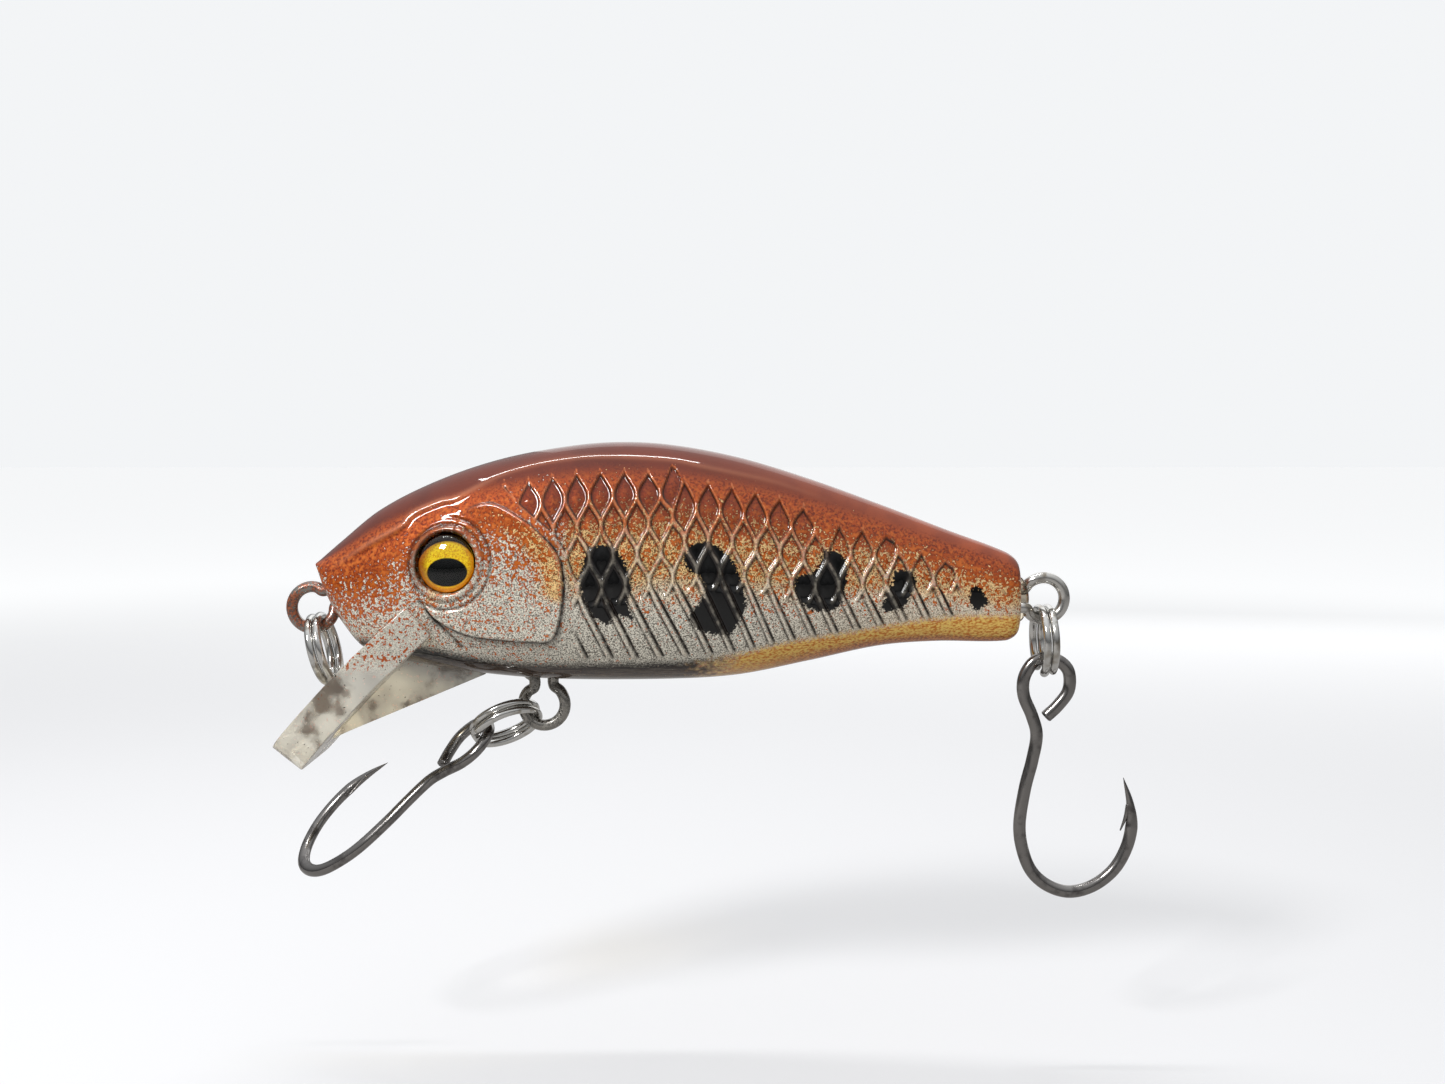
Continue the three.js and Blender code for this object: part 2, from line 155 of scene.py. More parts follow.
COLUMN_START = 18.57
COLUMN_PITCH = 1.69
ROW_PITCH = 2.2
SCALE_LIFT = 0.63
SLASH_TOPS = [
    (13, -0.3), (18.5, 0.3), (20, 0.5), (24, 1.0), (27, 1.6), (30, 1.5), (33, 0.9), (37, 0.6),
    (39.5, 0.8), (42, 1.2), (47, 1.3),
]
SLASH_LEAN = 0.48
FIELD_TOP = [
    (13.3, 9.2), (15, 9.4), (17, 9.8), (20, 10.1), (25, 9.9), (27.5, 9.4), (30, 8.9), (32.5, 8.3),
    (35, 7.3), (37, 6.7), (40, 5.6), (42, 4.9), (44, 3.9), (45.7, 3.0), (47.5, 2.2),
]
FIELD_FOOT = [
    (16, -3.9), (22, -3.85), (27, -3.6), (30, -3.3), (32.6, -2.8), (35, -2.35), (38, -1.9),
    (41, -1.35), (45, -0.85), (48, -0.7),
]
PAINT_FOOT = [
    (3, -2.3), (6, -2.6), (8, -2.9), (11, -3.55), (14, -4.0), (18, -4.1), (22, -4.05), (26, -3.95),
    (30, -3.45), *FIELD_FOOT[4:],
]
FIELD_FRONT = [
    (13.1, 9.6), (13.4, 8.4), (14.4, 7.2), (16.6, 5.25), (17.65, 3.6), (18.1, 2.2), (18.5, 1.0),
    (17.75, -0.5), (18.4, -2.2), (19.4, -4.4),
]
BEYOND_TAIL = [(60, -10), (60, 20)]
FIELD_REAR = 46.4
GILL_COVER = [
    (7.6, 0.0), (9.0, -1.1), (10.7, -1.9), (12.4, -2.2), (15, -2.4), (16.6, -2.35), (17.2, -1.2),
    (17.5, 0.8), (17.5, 2.2), (17.2, 3.6), (16.2, 4.9), (14.7, 6.2), (12.6, 7.3), (10.5, 6.8),
]
HEAD_RIDGE = [
    (1.2, 2.6), (2.6, 3.5), (4.3, 4.5), (6.3, 5.6), (7.2, 6.5), (9.0, 7.3), (10.2, 7.6), (12.1, 8.6),
    (13.3, 9.2), (15, 9.75), (17, 10.2), (20, 10.5), (25, 10.3), (27.5, 9.8), (30, 9.3), (33, 8.6),
    (37, 7.2),
]
MOUTH = [(7.4, 0.4), (8.3, -0.8), (9.6, -2.1), (10.4, -2.9)]
SPOTS = [
    [(19.3, 4.2), (20.8, 4.4), (21.9, 3.2), (22.4, 1.4), (22.1, 0.2), (22.5, -0.9), (21.4, -0.6),
     (20.6, -1.3), (19.6, -0.6), (19.0, 0.4), (18.7, 1.8), (18.9, 3.0)],
    [(26.1, 3.6), (26.8, 4.5), (28.0, 4.6), (29.3, 3.7), (30.0, 2.4), (30.5, 0.6), (30.3, -0.6),
     (29.5, -1.9), (28.4, -2.0), (27.0, -1.6), (26.5, -0.6), (27.2, 0.3), (27.6, 1.4), (27.0, 2.3),
     (26.3, 2.7)],
    [(36.0, 4.0), (37.2, 3.9), (37.7, 2.9), (37.6, 0.9), (36.9, -0.2), (35.6, -0.3), (34.6, 0.1),
     (34.0, 1.0), (34.2, 2.1), (35.2, 2.4), (35.8, 3.0)],
    [(41.1, 2.6), (42.4, 2.5), (42.7, 1.7), (42.2, 0.6), (41.6, -0.2), (40.2, -0.2), (40.6, 0.9),
     (41.0, 1.8)],
    [(46.9, 1.6), (47.5, 0.9), (47.8, 0.3), (47.1, -0.3), (46.6, 0.0), (46.5, 0.9)],
]

# Rust in the paint as (share of the way from belly to back, amount).
FLANK_RUST = [
    (0.08, 0.0), (0.2, 0.12), (0.35, 0.26), (0.5, 0.37), (0.62, 0.47), (0.74, 0.68), (0.84, 1.05),
]
HEAD_RUST = [(0.1, 0.2), (0.3, 0.3), (0.5, 0.42), (0.62, 0.55), (0.7, 0.72), (0.8, 1.0)]

SCALE_DEPTH = 0.17
SLASH_HEIGHT = 0.08
SLASH_DEPTH = 0.15
GILL_STEP = 0.3
RIDGE_STEP = 0.16
GROOVE_DEPTH = 0.16
LID_STEP = 0.13
LID_GROOVE = 0.06
CHEEK_GROOVE = 0.15

LIP_EDGE = 0.09
BEVEL_OVER = math.radians(25)
SMOOTH_UNDER = math.radians(30)

# The drop of clear coat round the tail loop's root: (radius, height) of a disc, then its shape.
FILM_PROFILE = [
    (0, -0.5), (0.75, -0.42), (1.15, -0.2), (1.3, 0.0), (1.1, 0.32), (0.55, 0.62), (0, 0.72),
]
FILM_STRETCH = (1, 0.38, 1.25)
FILM_PLACE = (TAIL_X + 0.05, 0, 0.5)

# Points of a half's grid: along the body, round the outside, and round the inside.
SKIN_STATIONS = 560
SKIN_ROUND = 160
SKIN_INSIDE = 14
# A section is walked in fine steps, in which width counts a little less than height.
SECTION_STEPS = 720
WIDTH_WEIGHT = 0.7
# Where there is no cavity, how far out from the middle the two halves meet.
SEAM_SHARE = 0.6
TAIL_ROUNDING = 0.45
DISC_SIDES = 72
CUP_STEPS = 40
DOME_STEPS = 26
WIRE_SIDES = 20
HOOK_SIDES = 24
BARB_SIDES = 12
# A direction that no bar sets out along.
ASIDE = (0.12, 1.0, 0.07)
# A bar's rounded end: how far in from the end, and how wide, in radii.
END_BEVEL = [(0.0, 0.02), (0.0, 0.75), (0.12, 0.94), (0.3, 1.0)]


# -------- small sums

def smooth(low, high, value):
    """0 below low, 1 above high, and an easy rise between."""
    t = np.clip((value - low) / (high - low), 0, 1)
    return t * t * (3 - 2 * t)


def hump(value, middle, width):
    """1 where value is middle, fading to 0 a couple of widths away on both sides."""
    return np.exp(-((value - middle) / width) ** 2)


def through(points):
    """A smooth function of x through (x, value) points."""
    xs, values = np.array(points, float).T
    padded = np.pad([xs, values], ((0, 0), (1, 1)), "edge")
    run, climb = padded[:, 2:] - padded[:, :-2]
    slopes = climb / run

    def value(x):
        i = np.clip(np.searchsorted(xs, x) - 1, 0, len(xs) - 2)
        step = xs[i + 1] - xs[i]
        t = np.clip((x - xs[i]) / step, 0, 1)
        rise = t * t * (3 - 2 * t)
        start = t * (t - 1) ** 2 * step * slopes[i]
        end = t * t * (t - 1) * step * slopes[i + 1]
        return values[i] + (values[i + 1] - values[i]) * rise + start + end

    return value


def curve_through(points, steps):
    """A Catmull-Rom curve through points, with this many steps from each to the next."""
    points = np.array(points, float)
    ends = np.vstack([2 * points[0] - points[1], points, 2 * points[-1] - points[-2]])
    t = np.linspace(0, 1, steps, endpoint=False)[:, None]
    parts = []
    for a, b, c, d in zip(ends, ends[1:], ends[2:], ends[3:]):
        parts.append(0.5 * (2 * b + (c - a) * t + (2 * a - 5 * b + 4 * c - d) * t ** 2
                            + (3 * b - a - 3 * c + d) * t ** 3))
    return np.vstack([*parts, points[-1:]])


def distance_to(line, x, z):
    """How far each (x, z) is from a line of points."""
    best = np.full(np.shape(x), np.inf)
    for (x0, z0), (x1, z1) in zip(line, line[1:]):
        dx, dz = x1 - x0, z1 - z0
        t = np.clip(((x - x0) * dx + (z - z0) * dz) / (dx * dx + dz * dz), 0, 1)
        best = np.minimum(best, np.hypot(x - x0 - t * dx, z - z0 - t * dz))
    return best


def is_inside(loop, x, z):
    """Whether each (x, z) is inside a closed outline."""
    found = np.zeros(np.shape(x), bool)
    for (x0, z0), (x1, z1) in zip(loop, [*loop[1:], loop[0]]):
        if z0 != z1:
            crossing = x0 + (z - z0) * (x1 - x0) / (z1 - z0)
            found ^= ((z0 > z) != (z1 > z)) & (x < crossing)
    return found


def depth_inside(loop, x, z):
    """How far each (x, z) is inside an outline, and less than 0 outside it."""
    away = distance_to(loop, x, z)
    return np.where(is_inside(loop, x, z), away, -away)


def rgb(red, green, blue):
    """A colour from its 0 to 255 screen values."""
    return tuple((c / 255) ** 2.2 for c in (red, green, blue)) + (1.0,)


back_at = through(BACK)
belly_at = through(BELLY)
half_width_at = through(HALF_WIDTH)
widest_at = through(WIDEST_AT)
slash_top_at = through(SLASH_TOPS)
field_top_at = through(FIELD_TOP)
field_foot_at = through(FIELD_FOOT)
paint_foot_at = through(PAINT_FOOT)


# -------- meshes

def in_scene(name, data):
    """A new object that holds some data, linked to the scene."""
    made = bpy.data.objects.new(name, data)
    bpy.context.scene.collection.objects.link(made)
    return made


def new_object(name, vertices, faces, material, normals=None):
    """An object at the origin, from vertices in millimetres."""
    mesh = bpy.data.meshes.new(name)
    mesh.from_pydata((np.asarray(vertices) * MM).tolist(), [], faces)
    mesh.validate()
    shell = bmesh.new()
    shell.from_mesh(mesh)
    bmesh.ops.recalc_face_normals(shell, faces=shell.faces)
    shell.to_mesh(mesh)
    shell.free()
    mesh.shade_smooth()
    mesh.materials.append(material)
    if normals is not None:
        mesh.normals_split_custom_set_from_vertices(normals)
    return in_scene(name, mesh)


def add_attribute(made, name, values):
    attribute = made.data.attributes.new(name, "FLOAT", "POINT")
    attribute.data.foreach_set("value", np.asarray(values, np.float32).ravel())


def grid_faces(rows, columns, wrap):
    """Quads over a grid of vertices, closed across the columns if wrap is true."""
    faces = []
    last = columns if wrap else columns - 1
    for i in range(rows - 1):
        for j in range(last):
            k = (j + 1) % columns
            faces.append((i * columns + j, i * columns + k, (i + 1) * columns + k,
                          (i + 1) * columns + j))
    return faces


def swept(points, radii, sides=WIRE_SIDES):
    """A closed bar of round section along points, with rounded ends."""
    points = np.asarray(points, float)
    radii = np.broadcast_to(radii, len(points)).astype(float)
    along = np.gradient(points, axis=0)
    along /= np.linalg.norm(along, axis=1)[:, None]
    first = np.cross(along[0], ASIDE)
    across = [first / np.linalg.norm(first)]
    for direction in along[1:]:
        moved = across[-1] - direction * np.dot(across[-1], direction)
        across.append(moved / np.linalg.norm(moved))
    across = np.array(across)
    other = np.cross(along, across)
    last = len(points) - 1
    stations = [(0, inward, width) for inward, width in END_BEVEL]
    stations += [(i, 0.0, 1.0) for i in range(1, last)]
    stations += [(last, -inward, width) for inward, width in reversed(END_BEVEL)]
    turn = np.linspace(0, math.tau, sides, endpoint=False)
    rings = []
    for i, inward, width in stations:
        centre = points[i] + along[i] * radii[i] * inward
        circle = np.outer(np.cos(turn), across[i]) + np.outer(np.sin(turn), other[i])
        rings.append(centre + radii[i] * width * circle)
    vertices = np.vstack(rings)
    faces = grid_faces(len(rings), sides, wrap=True)
    faces.append(tuple(range(sides))[::-1])
    faces.append(tuple(range(len(vertices) - sides, len(vertices))))
    return vertices, faces


def turned_by(vertices, matrix):
    """Vertices in millimetres moved by a matrix in millimetres."""
    spin = np.array(matrix.to_3x3())
    return np.asarray(vertices) @ spin.T + np.array(matrix.translation)


# -------- the body's skin

def section(turn, x, top, foot, wide):
    """The (y, z) of a flank's section at x; turn is 0 at the back and pi at the belly."""
    up = np.cos(turn)
    middle = widest_at(x)
    edge = np.where(up > 0, top, foot)
    power = 2 / np.where(up > 0, UPPER_POWER, LOWER_POWER)
    y = wide * np.clip(np.sin(turn), 0, 1) ** power
    return y, middle + (edge - middle) * np.abs(up) ** power


def section_grid(xs):
    """Points of the undecorated flank on the +Y side: rows along X, columns from back to belly."""
    fine = np.linspace(0, math.pi, SECTION_STEPS)
    grid = np.empty((len(xs), SKIN_ROUND, 3))
    for row, x in enumerate(xs):
        into = max(0.0, x - (TAIL_X - TAIL_ROUNDING))
        inset = TAIL_ROUNDING - math.sqrt(max(0.0, TAIL_ROUNDING ** 2 - into ** 2))
        y, z = section(fine, x, back_at(x) - inset, belly_at(x) + inset, half_width_at(x) - inset)
        steps = np.hypot(WIDTH_WEIGHT * np.diff(y), np.diff(z))
        lengths = np.concatenate([[0], np.cumsum(steps)])
        even = np.linspace(0, lengths[-1], SKIN_ROUND)
        grid[row, :, 0] = x
        grid[row, :, 1] = np.interp(even, lengths, y)
        grid[row, :, 2] = np.interp(even, lengths, z)
    grid[:, [0, -1], 1] = 0
    return grid


def grid_normals(grid):
    """Outward normals of a flank grid, lying in the middle plane along its two seams."""
    along = np.gradient(grid, axis=0)
    padded = np.concatenate([grid[:, 1:2] * (1, -1, 1), grid, grid[:, -2:-1] * (1, -1, 1)], axis=1)
    down = padded[:, 2:] - padded[:, :-2]
    normals = np.cross(along, down)
    normals /= np.linalg.norm(normals, axis=2)[:, :, None]
    return normals


def seen_from_side(grid):
    """Where each point of a flank shows in the artwork."""
    x, y, z = grid[..., 0], grid[..., 1], grid[..., 2]
    nearer = ART_DISTANCE / (ART_DISTANCE - y)
    art_x = ART_CENTRE[0] + (x - ART_CENTRE[0]) * nearer
    art_z = ART_CENTRE[1] + (z - ART_DIP * y - ART_CENTRE[1]) * nearer
    return art_x, art_z


def top_row_at(x):
    """How many rows of scales fit under the top edge of the scaled field."""
    return (field_top_at(x) - slash_top_at(x)) / ROW_PITCH + SCALE_LIFT


def scale_pattern(x, z):
    """The sunk scales: distance inside a scale's edge, and where there are scales."""
    row = (z - slash_top_at(x)) / ROW_PITCH + SCALE_LIFT
    top_row = top_row_at(x)
    whole_rows = np.floor(top_row) + smooth(0.3, 0.7, top_row - np.floor(top_row))
    row = row + (whole_rows - top_row) * np.clip(row / top_row, 0, 1.3) ** 2
    column = (x - COLUMN_START) / COLUMN_PITCH
    nearest = np.round(column)
    from_column = np.abs(column - nearest)
    rim = 0.25 * (1 + np.cos(math.pi * row))
    slope = COLUMN_PITCH * 0.25 * math.pi * np.sin(math.pi * row) / ROW_PITCH
    to_rim = np.abs(from_column - rim) * COLUMN_PITCH / np.hypot(1, slope)
    even = from_column < rim
    cell_row = np.where(even, 2 * np.round(row / 2), 2 * np.round((row - 1) / 2) + 1)
    cell_x = COLUMN_START + np.where(even, nearest, np.floor(column) + 0.5) * COLUMN_PITCH
    front = is_inside([*FIELD_FRONT, *BEYOND_TAIL], x, z)
    from_front = distance_to(FIELD_FRONT, x, z) * np.where(front, 1, -1)
    below_top = field_top_at(cell_x) + 0.2 - 0.9 * ((x - cell_x) / 0.6) ** 2 - z
    to_rim = np.minimum(to_rim, np.maximum(np.minimum(from_front, below_top), 0))
    there = (cell_row < np.round(top_row_at(cell_x)) - 0.45) & (cell_row > -0.5)
    return to_rim, there & (x < FIELD_REAR) & front & (below_top > 0)


def slash_pattern(x, z):
    """How far a point is to the right of the nearest slash, and how much of a slash is there."""
    below = slash_top_at(x) - z
    lean = math.hypot(1, SLASH_LEAN)
    along = (x - COLUMN_START - 0.2 - SLASH_LEAN * below) / COLUMN_PITCH
    aside = (along - np.round(along)) * COLUMN_PITCH / lean
    share = smooth(-0.25, 0.35, below) * smooth(0.0, 0.35, z - field_foot_at(x))
    share *= smooth(18.2, 18.9, x) * (1 - smooth(FIELD_REAR - 0.9, FIELD_REAR - 0.3, x))
    return aside, share


def scale_relief(x, z):
    """Height, painted highlight line and painted shade of the scales and slashes, how deep in a scale
    a point is, and where the scaled field is."""
    to_rim, there = scale_pattern(x, z)
    aside, slashed = slash_pattern(x, z)
    scaled = there * (1 - smooth(0.0, 0.6, slash_top_at(x) - z))
    bowl = smooth(0.05, 0.2, to_rim) * (1 - 0.35 * smooth(0.3, 0.85, to_rim))
    band = 1 - smooth(0.08, 0.2, np.abs(aside))
    trench = hump(aside, 0.23, 0.08) + 0.6 * hump(aside, -0.22, 0.06)
    height = -SCALE_DEPTH * scaled * bowl * (0.45 + 0.55 * smooth(15.5, 19, x))
    height += slashed * (SLASH_HEIGHT * band - SLASH_DEPTH * trench)
    # painted highlight: a light line along each scale's rim and each slash, brightest at a slash's
    # blunt foot; it also stands for rims rubbed through
    blunt_foot_highlight = slashed * band * smooth(0.9, 0.3, z - field_foot_at(x))
    line = hump(to_rim, 0.03, 0.06) * scaled + hump(aside, 0, 0.1) * slashed + 0.7 * blunt_foot_highlight
    # painted shade: a dark line inside each scale's rim and in the trenches beside the slashes
    shade = 1.2 * hump(to_rim, 0.17, 0.06) * scaled + slashed * trench * 2.1
    return height, line, shade, bowl * scaled, np.maximum(scaled, slashed)


def gill_relief(x, z):
    """Height, painted highlight line and painted shade of the gill cover's step, with a painted
    shadow below its edge, and how near its rim a point inside it is.
    """
    cover = curve_through(GILL_COVER, 6).tolist()
    signed = depth_inside(cover, x, z)
    ends = np.minimum(np.hypot(x - cover[0][0], z - cover[0][1]),
                      np.hypot(x - cover[-1][0], z - cover[-1][1]))
    open_end = smooth(0.0, 1.2, ends)
    plate = smooth(-0.09, 0.09, signed) * np.exp(-np.maximum(signed, 0) / 1.3)
    # painted highlight just inside the step's edge; painted shade as a dark line just outside it and
    # a painted shadow fading below it
    line = 0.35 * hump(signed, 0.14, 0.09) * open_end
    shade = 0.95 * hump(signed, -0.05, 0.09) * open_end
    shade += 0.55 * np.exp(np.minimum(signed, 0) / 0.5) * (signed < 0) * open_end * (z < 5)
    return GILL_STEP * plate * open_end, line, shade, (signed > 0) * hump(signed, 0, 1.5)


def ridge_relief(x, z):
    """Height of the ridge along the head and back, and how strongly its crest shows, as a painted
    highlight.
    """
    ridge = curve_through(HEAD_RIDGE, 6).tolist()
    to_ridge = distance_to(ridge, x, z)
    over = z > np.interp(x, *np.array(ridge).T)
    past = np.where(over, to_ridge, -to_ridge)
    fade = smooth(1.2, 5.0, x) * (1 - 0.75 * smooth(8.5, 13.5, x)) * (1 - smooth(26, 37, x))
    above = smooth(-0.3, 0.2, past) * np.exp(-to_ridge / 1.6)
    height = RIDGE_STEP * fade * (0.8 * above + 0.3 * hump(past, 0.15, 0.2))
    # the second value is the crest's painted highlight, a mask for the paint
    return height, np.sqrt(fade) * hump(past, 0.12, 0.16)


def eye_relief(grid, side_eye):
    """Height, painted highlight line and painted shade of the socket, the lid round it and the groove
    behind it.
    """
    offset = grid - side_eye[0]
    deep = offset @ side_eye[1]
    flat = offset - deep[..., None] * side_eye[1]
    from_eye = np.where(deep > -2.5, np.linalg.norm(flat, axis=-1), 99)
    behind = smooth(-1.6, 0.2, flat[..., 0] - 0.35 * flat[..., 2])
    above = smooth(-1.0, 1.5, flat[..., 2] - flat[..., 0])
    lid = smooth(2.05, 2.2, from_eye) * (1 - smooth(2.42, 2.62, from_eye))
    lid_groove = hump(from_eye, 2.68, 0.09)
    cheek_groove = hump(from_eye, 3.15, 0.09) * behind
    socket = 1 - smooth(SOCKET_RADIUS - 0.08, SOCKET_RADIUS + 0.04, from_eye)
    height = LID_STEP * lid - LID_GROOVE * lid_groove - CHEEK_GROOVE * cheek_groove
    height -= SOCKET_DEPTH * socket
    # painted shade in the grooves and the socket, and in a ring round the eye that is darkest above
    # it
    shade = 0.6 * lid_groove + 0.9 * cheek_groove
    shade += 0.5 * (1 - smooth(2.1, 2.45, from_eye)) + socket
    shade += 0.6 * (1 - smooth(2.3, 3.1, from_eye)) * above
    # painted highlight along the raised lid
    return height, 0.5 * hump(from_eye, 2.33, 0.1), shade


def paint_zones(share, x, z, gill_rim):
    """How much rust there is, and how warm the silver under it."""
    on_head = 1 - smooth(16.9, 18.3, x)
    on_nose = 1 - smooth(1.0, 9.5, x)
    flank_rust = np.interp(share, *np.array(FLANK_RUST).T)
    flank_rust += 0.07 * smooth(25, 34, x) * smooth(0.2, 0.4, share)
    head_rust = np.interp(share, *np.array(HEAD_RUST).T)
    head_rust += on_nose * smooth(-4.5, 1.5, z) * 0.36
    warm = smooth(0.24, 0.55, share) * (1 - on_head) * 0.95
    warm += gill_rim * on_head * 1.4 * smooth(-0.5, 1.5, z)
    return head_rust * on_head + flank_rust * (1 - on_head), warm


def spot_depth(x, z):
    """How far inside a painted spot each point is, less than 0 outside them all."""
    deepest = np.full(x.shape, -9.0)
    for outline in SPOTS:
        loop = curve_through([*outline, outline[0]], 5).tolist()
        deepest = np.maximum(deepest, depth_inside(loop, x, z))
    return deepest


def relief(grid, side_eye):
    """The skin's raised and sunk detail in millimetres, and its masks for the paint, among them
    painted shade in the hollows and painted highlights on raised edges.
    """
    x, z = seen_from_side(grid)
    height, line, shade, bowl, field = scale_relief(x, z)
    gill_height, gill_rim_highlight, gill_shade, gill_rim = gill_relief(x, z)
    ridge_height, crest = ridge_relief(x, z)
    eye_height, lid_highlight, eye_shade = eye_relief(grid, side_eye)
    mouth = distance_to(curve_through(MOUTH, 6).tolist(), x, z)
    height += gill_height + ridge_height + eye_height
    height -= GROOVE_DEPTH * (1 - smooth(0.04, 0.2, mouth))
    line += gill_rim_highlight + lid_highlight
    # painted shade in the mouth groove
    shade += gill_shade + eye_shade + 0.8 * (1 - smooth(0.04, 0.16, mouth))
    low = belly_at(grid[..., 0])
    share = (grid[..., 2] - low) / (back_at(grid[..., 0]) - low)
    rust, warm = paint_zones(share, x, z, gill_rim)
    masks = {
        # line holds painted highlights, shade holds painted shade, crest holds the painted highlight
        # on the ridge
        "line": np.clip(line, 0, 1), "shade": np.clip(shade, 0, 1.2), "crest": crest,
        "bowl": bowl, "field": field, "rust": rust, "warm": warm, "spot": spot_depth(x, z),
        "art_x": x, "share": share, "foot": z - paint_foot_at(x),
    }
    return height, masks


def cavity_columns(xs):
    """The inner wall of a half, from floor to ceiling; flat on the seam where there is no room."""
    turn = np.linspace(math.pi, 0, SKIN_INSIDE)
    grid = np.empty((len(xs), SKIN_INSIDE, 3))
    for row, x in enumerate(xs):
        middle = widest_at(x)
        top = middle + SEAM_SHARE * (back_at(x) - middle)
        foot = middle + SEAM_SHARE * (belly_at(x) - middle)
        wide = 0.0
        lowest = foot
        for start, end, floor in CAVITIES:
            if start < x < end:
                top = back_at(x) - WALL
                foot = belly_at(x) + WALL
                wide = half_width_at(x) - WALL
                lowest = floor
        y, z = section(turn, x, top, foot, wide)
        grid[row, :, 0] = x
        grid[row, :, 1] = y
        grid[row, :, 2] = np.maximum(z, lowest)
    return grid


def eye_place():
    """The middle of the +Y eye on the flank, and its outward direction."""
    def flank(x, z):
        middle = widest_at(x)
        upper = z > middle
        edge = back_at(x) if upper else belly_at(x)
        power = UPPER_POWER if upper else LOWER_POWER
        share = abs((z - middle) / (edge - middle))
        return float(half_width_at(x) * (1 - share ** power) ** (1 / power))

    step = 0.05
    slope_x = (flank(EYE_X + step, EYE_Z) - flank(EYE_X - step, EYE_Z)) / (2 * step)
    slope_z = (flank(EYE_X, EYE_Z + step) - flank(EYE_X, EYE_Z - step)) / (2 * step)
    out = np.array((-slope_x, 1, -slope_z))
    return np.array((EYE_X, flank(EYE_X, EYE_Z), EYE_Z)), out / np.linalg.norm(out)


def body_half(name, sign, eye, material):
    """One moulded half with its scaled skin, a closed shell with the cavities inside."""
    xs = np.linspace(NOSE_X, TAIL_X, SKIN_STATIONS)
    plain = section_grid(xs)
    height, masks = relief(plain, eye)
    outer = plain + grid_normals(plain) * height[..., None]
    outer[:, [0, -1], 1] = 0
    normals = grid_normals(outer)
    inner = cavity_columns(xs)
    grid = np.concatenate([outer, inner], axis=1)
    blank = np.zeros(inner.shape)
    blank[..., 1] = -1
    normals = np.concatenate([normals, blank], axis=1)
    rows, columns = grid.shape[:2]
    faces = grid_faces(rows, columns, wrap=True)
    faces.append(tuple(range(columns))[::-1])
    faces.append(tuple(range((rows - 1) * columns, rows * columns)))
    grid[..., 1] *= sign
    normals[..., 1] *= sign
    if sign > 0:
        faces = [face[::-1] for face in faces]
    made = new_object(name, grid.reshape(-1, 3), faces, material,
                      normals.reshape(-1, 3).tolist())
    for mask, values in masks.items():
        filler = np.zeros(inner.shape[:2])
        add_attribute(made, mask, np.concatenate([values, filler], axis=1))
    return made


# -------- materials

class Nodes:
    """Adds shader nodes to one tree."""

    def __init__(self, tree):
        self.tree = tree

    def node(self, kind, *inputs, **settings):
        """A new node with some settings, its first inputs fed in order."""
        made = self.tree.nodes.new("ShaderNode" + kind)
        for name, value in settings.items():
            setattr(made, name, value)
        for socket, value in zip(made.inputs, inputs):
            self.feed(socket, value)
        return made

    def feed(self, socket, value):
        if isinstance(value, bpy.types.NodeSocket):
            self.tree.links.new(value, socket)
        else:
            socket.default_value = value


class Look(Nodes):
    """Builds one material."""

    def __init__(self, name):
        self.material = bpy.data.materials.new(name)
        self.material.use_nodes = True
        super().__init__(self.material.node_tree)
        self.surface = self.tree.nodes["Principled BSDF"]

    def set(self, **values):
        """Sets inputs of the surface by name, with _ for a space."""
        for name, value in values.items():
            self.feed(self.surface.inputs[name.replace("_", " ")], value)

    def mask(self, name):
        return self.node("Attribute", attribute_name=name).outputs["Fac"]

    def place(self):
        return self.node("TexCoord").outputs["Object"]

    def noise(self, size, detail=2.0, stretch=(1, 1, 1), shift=0.0):
        """Noise of about 0.3 to 0.7, with lumps about size millimetres across."""
        moved = (shift, shift * 0.7, shift * 1.3)
        scale = [1 / (size * MM * s) for s in stretch]
        where = self.node("Mapping", self.place(), moved, (0, 0, 0), scale)
        return self.node("TexNoise", where.outputs[0], 0.0, 1.0, detail).outputs[0]

    def sum(self, operation, first, second):
        return self.node("Math", first, second, operation=operation).outputs[0]

    def plus(self, first, second):
        return self.sum("ADD", first, second)

    def times(self, first, second):
        return self.sum("MULTIPLY", first, second)

    def sway(self, noise, amount):
        """Noise moved to swing evenly about 0."""
        return self.times(self.sum("SUBTRACT", noise, 0.5), amount)

    def rise(self, value, low, high, start=0.0, end=1.0):
        """start below low, end above high, and an easy change between."""
        return self.node("MapRange", value, low, high, start, end,
                         interpolation_type="SMOOTHSTEP").outputs["Result"]

    def mix(self, first, second, share):
        made = self.node("Mix", share, data_type="RGBA")
        self.feed(made.inputs[6], first)
        self.feed(made.inputs[7], second)
        return made.outputs[2]

    def tones(self, value, low, high, first, second):
        """One screen colour where value is low and another where it is high."""
        return self.mix(rgb(*first), rgb(*second), self.rise(value, low, high))

    def bump(self, height, depth, strength=1.0):
        made = self.node("Bump")
        self.feed(made.inputs["Height"], height)
        self.feed(made.inputs["Distance"], depth * MM)
        self.feed(made.inputs["Strength"], strength)
        self.feed(self.surface.inputs["Normal"], made.outputs["Normal"])

    def let_light_through(self, tint):
        """Light sources shine straight through, as they do through thin clear resin."""
        clear = self.node("BsdfTransparent", tint)
        shadow = self.node("LightPath").outputs["Is Shadow Ray"]
        mixer = self.node("MixShader", shadow, self.surface.outputs[0], clear.outputs[0])
        self.feed(self.tree.nodes["Material Output"].inputs["Surface"], mixer.outputs[0])


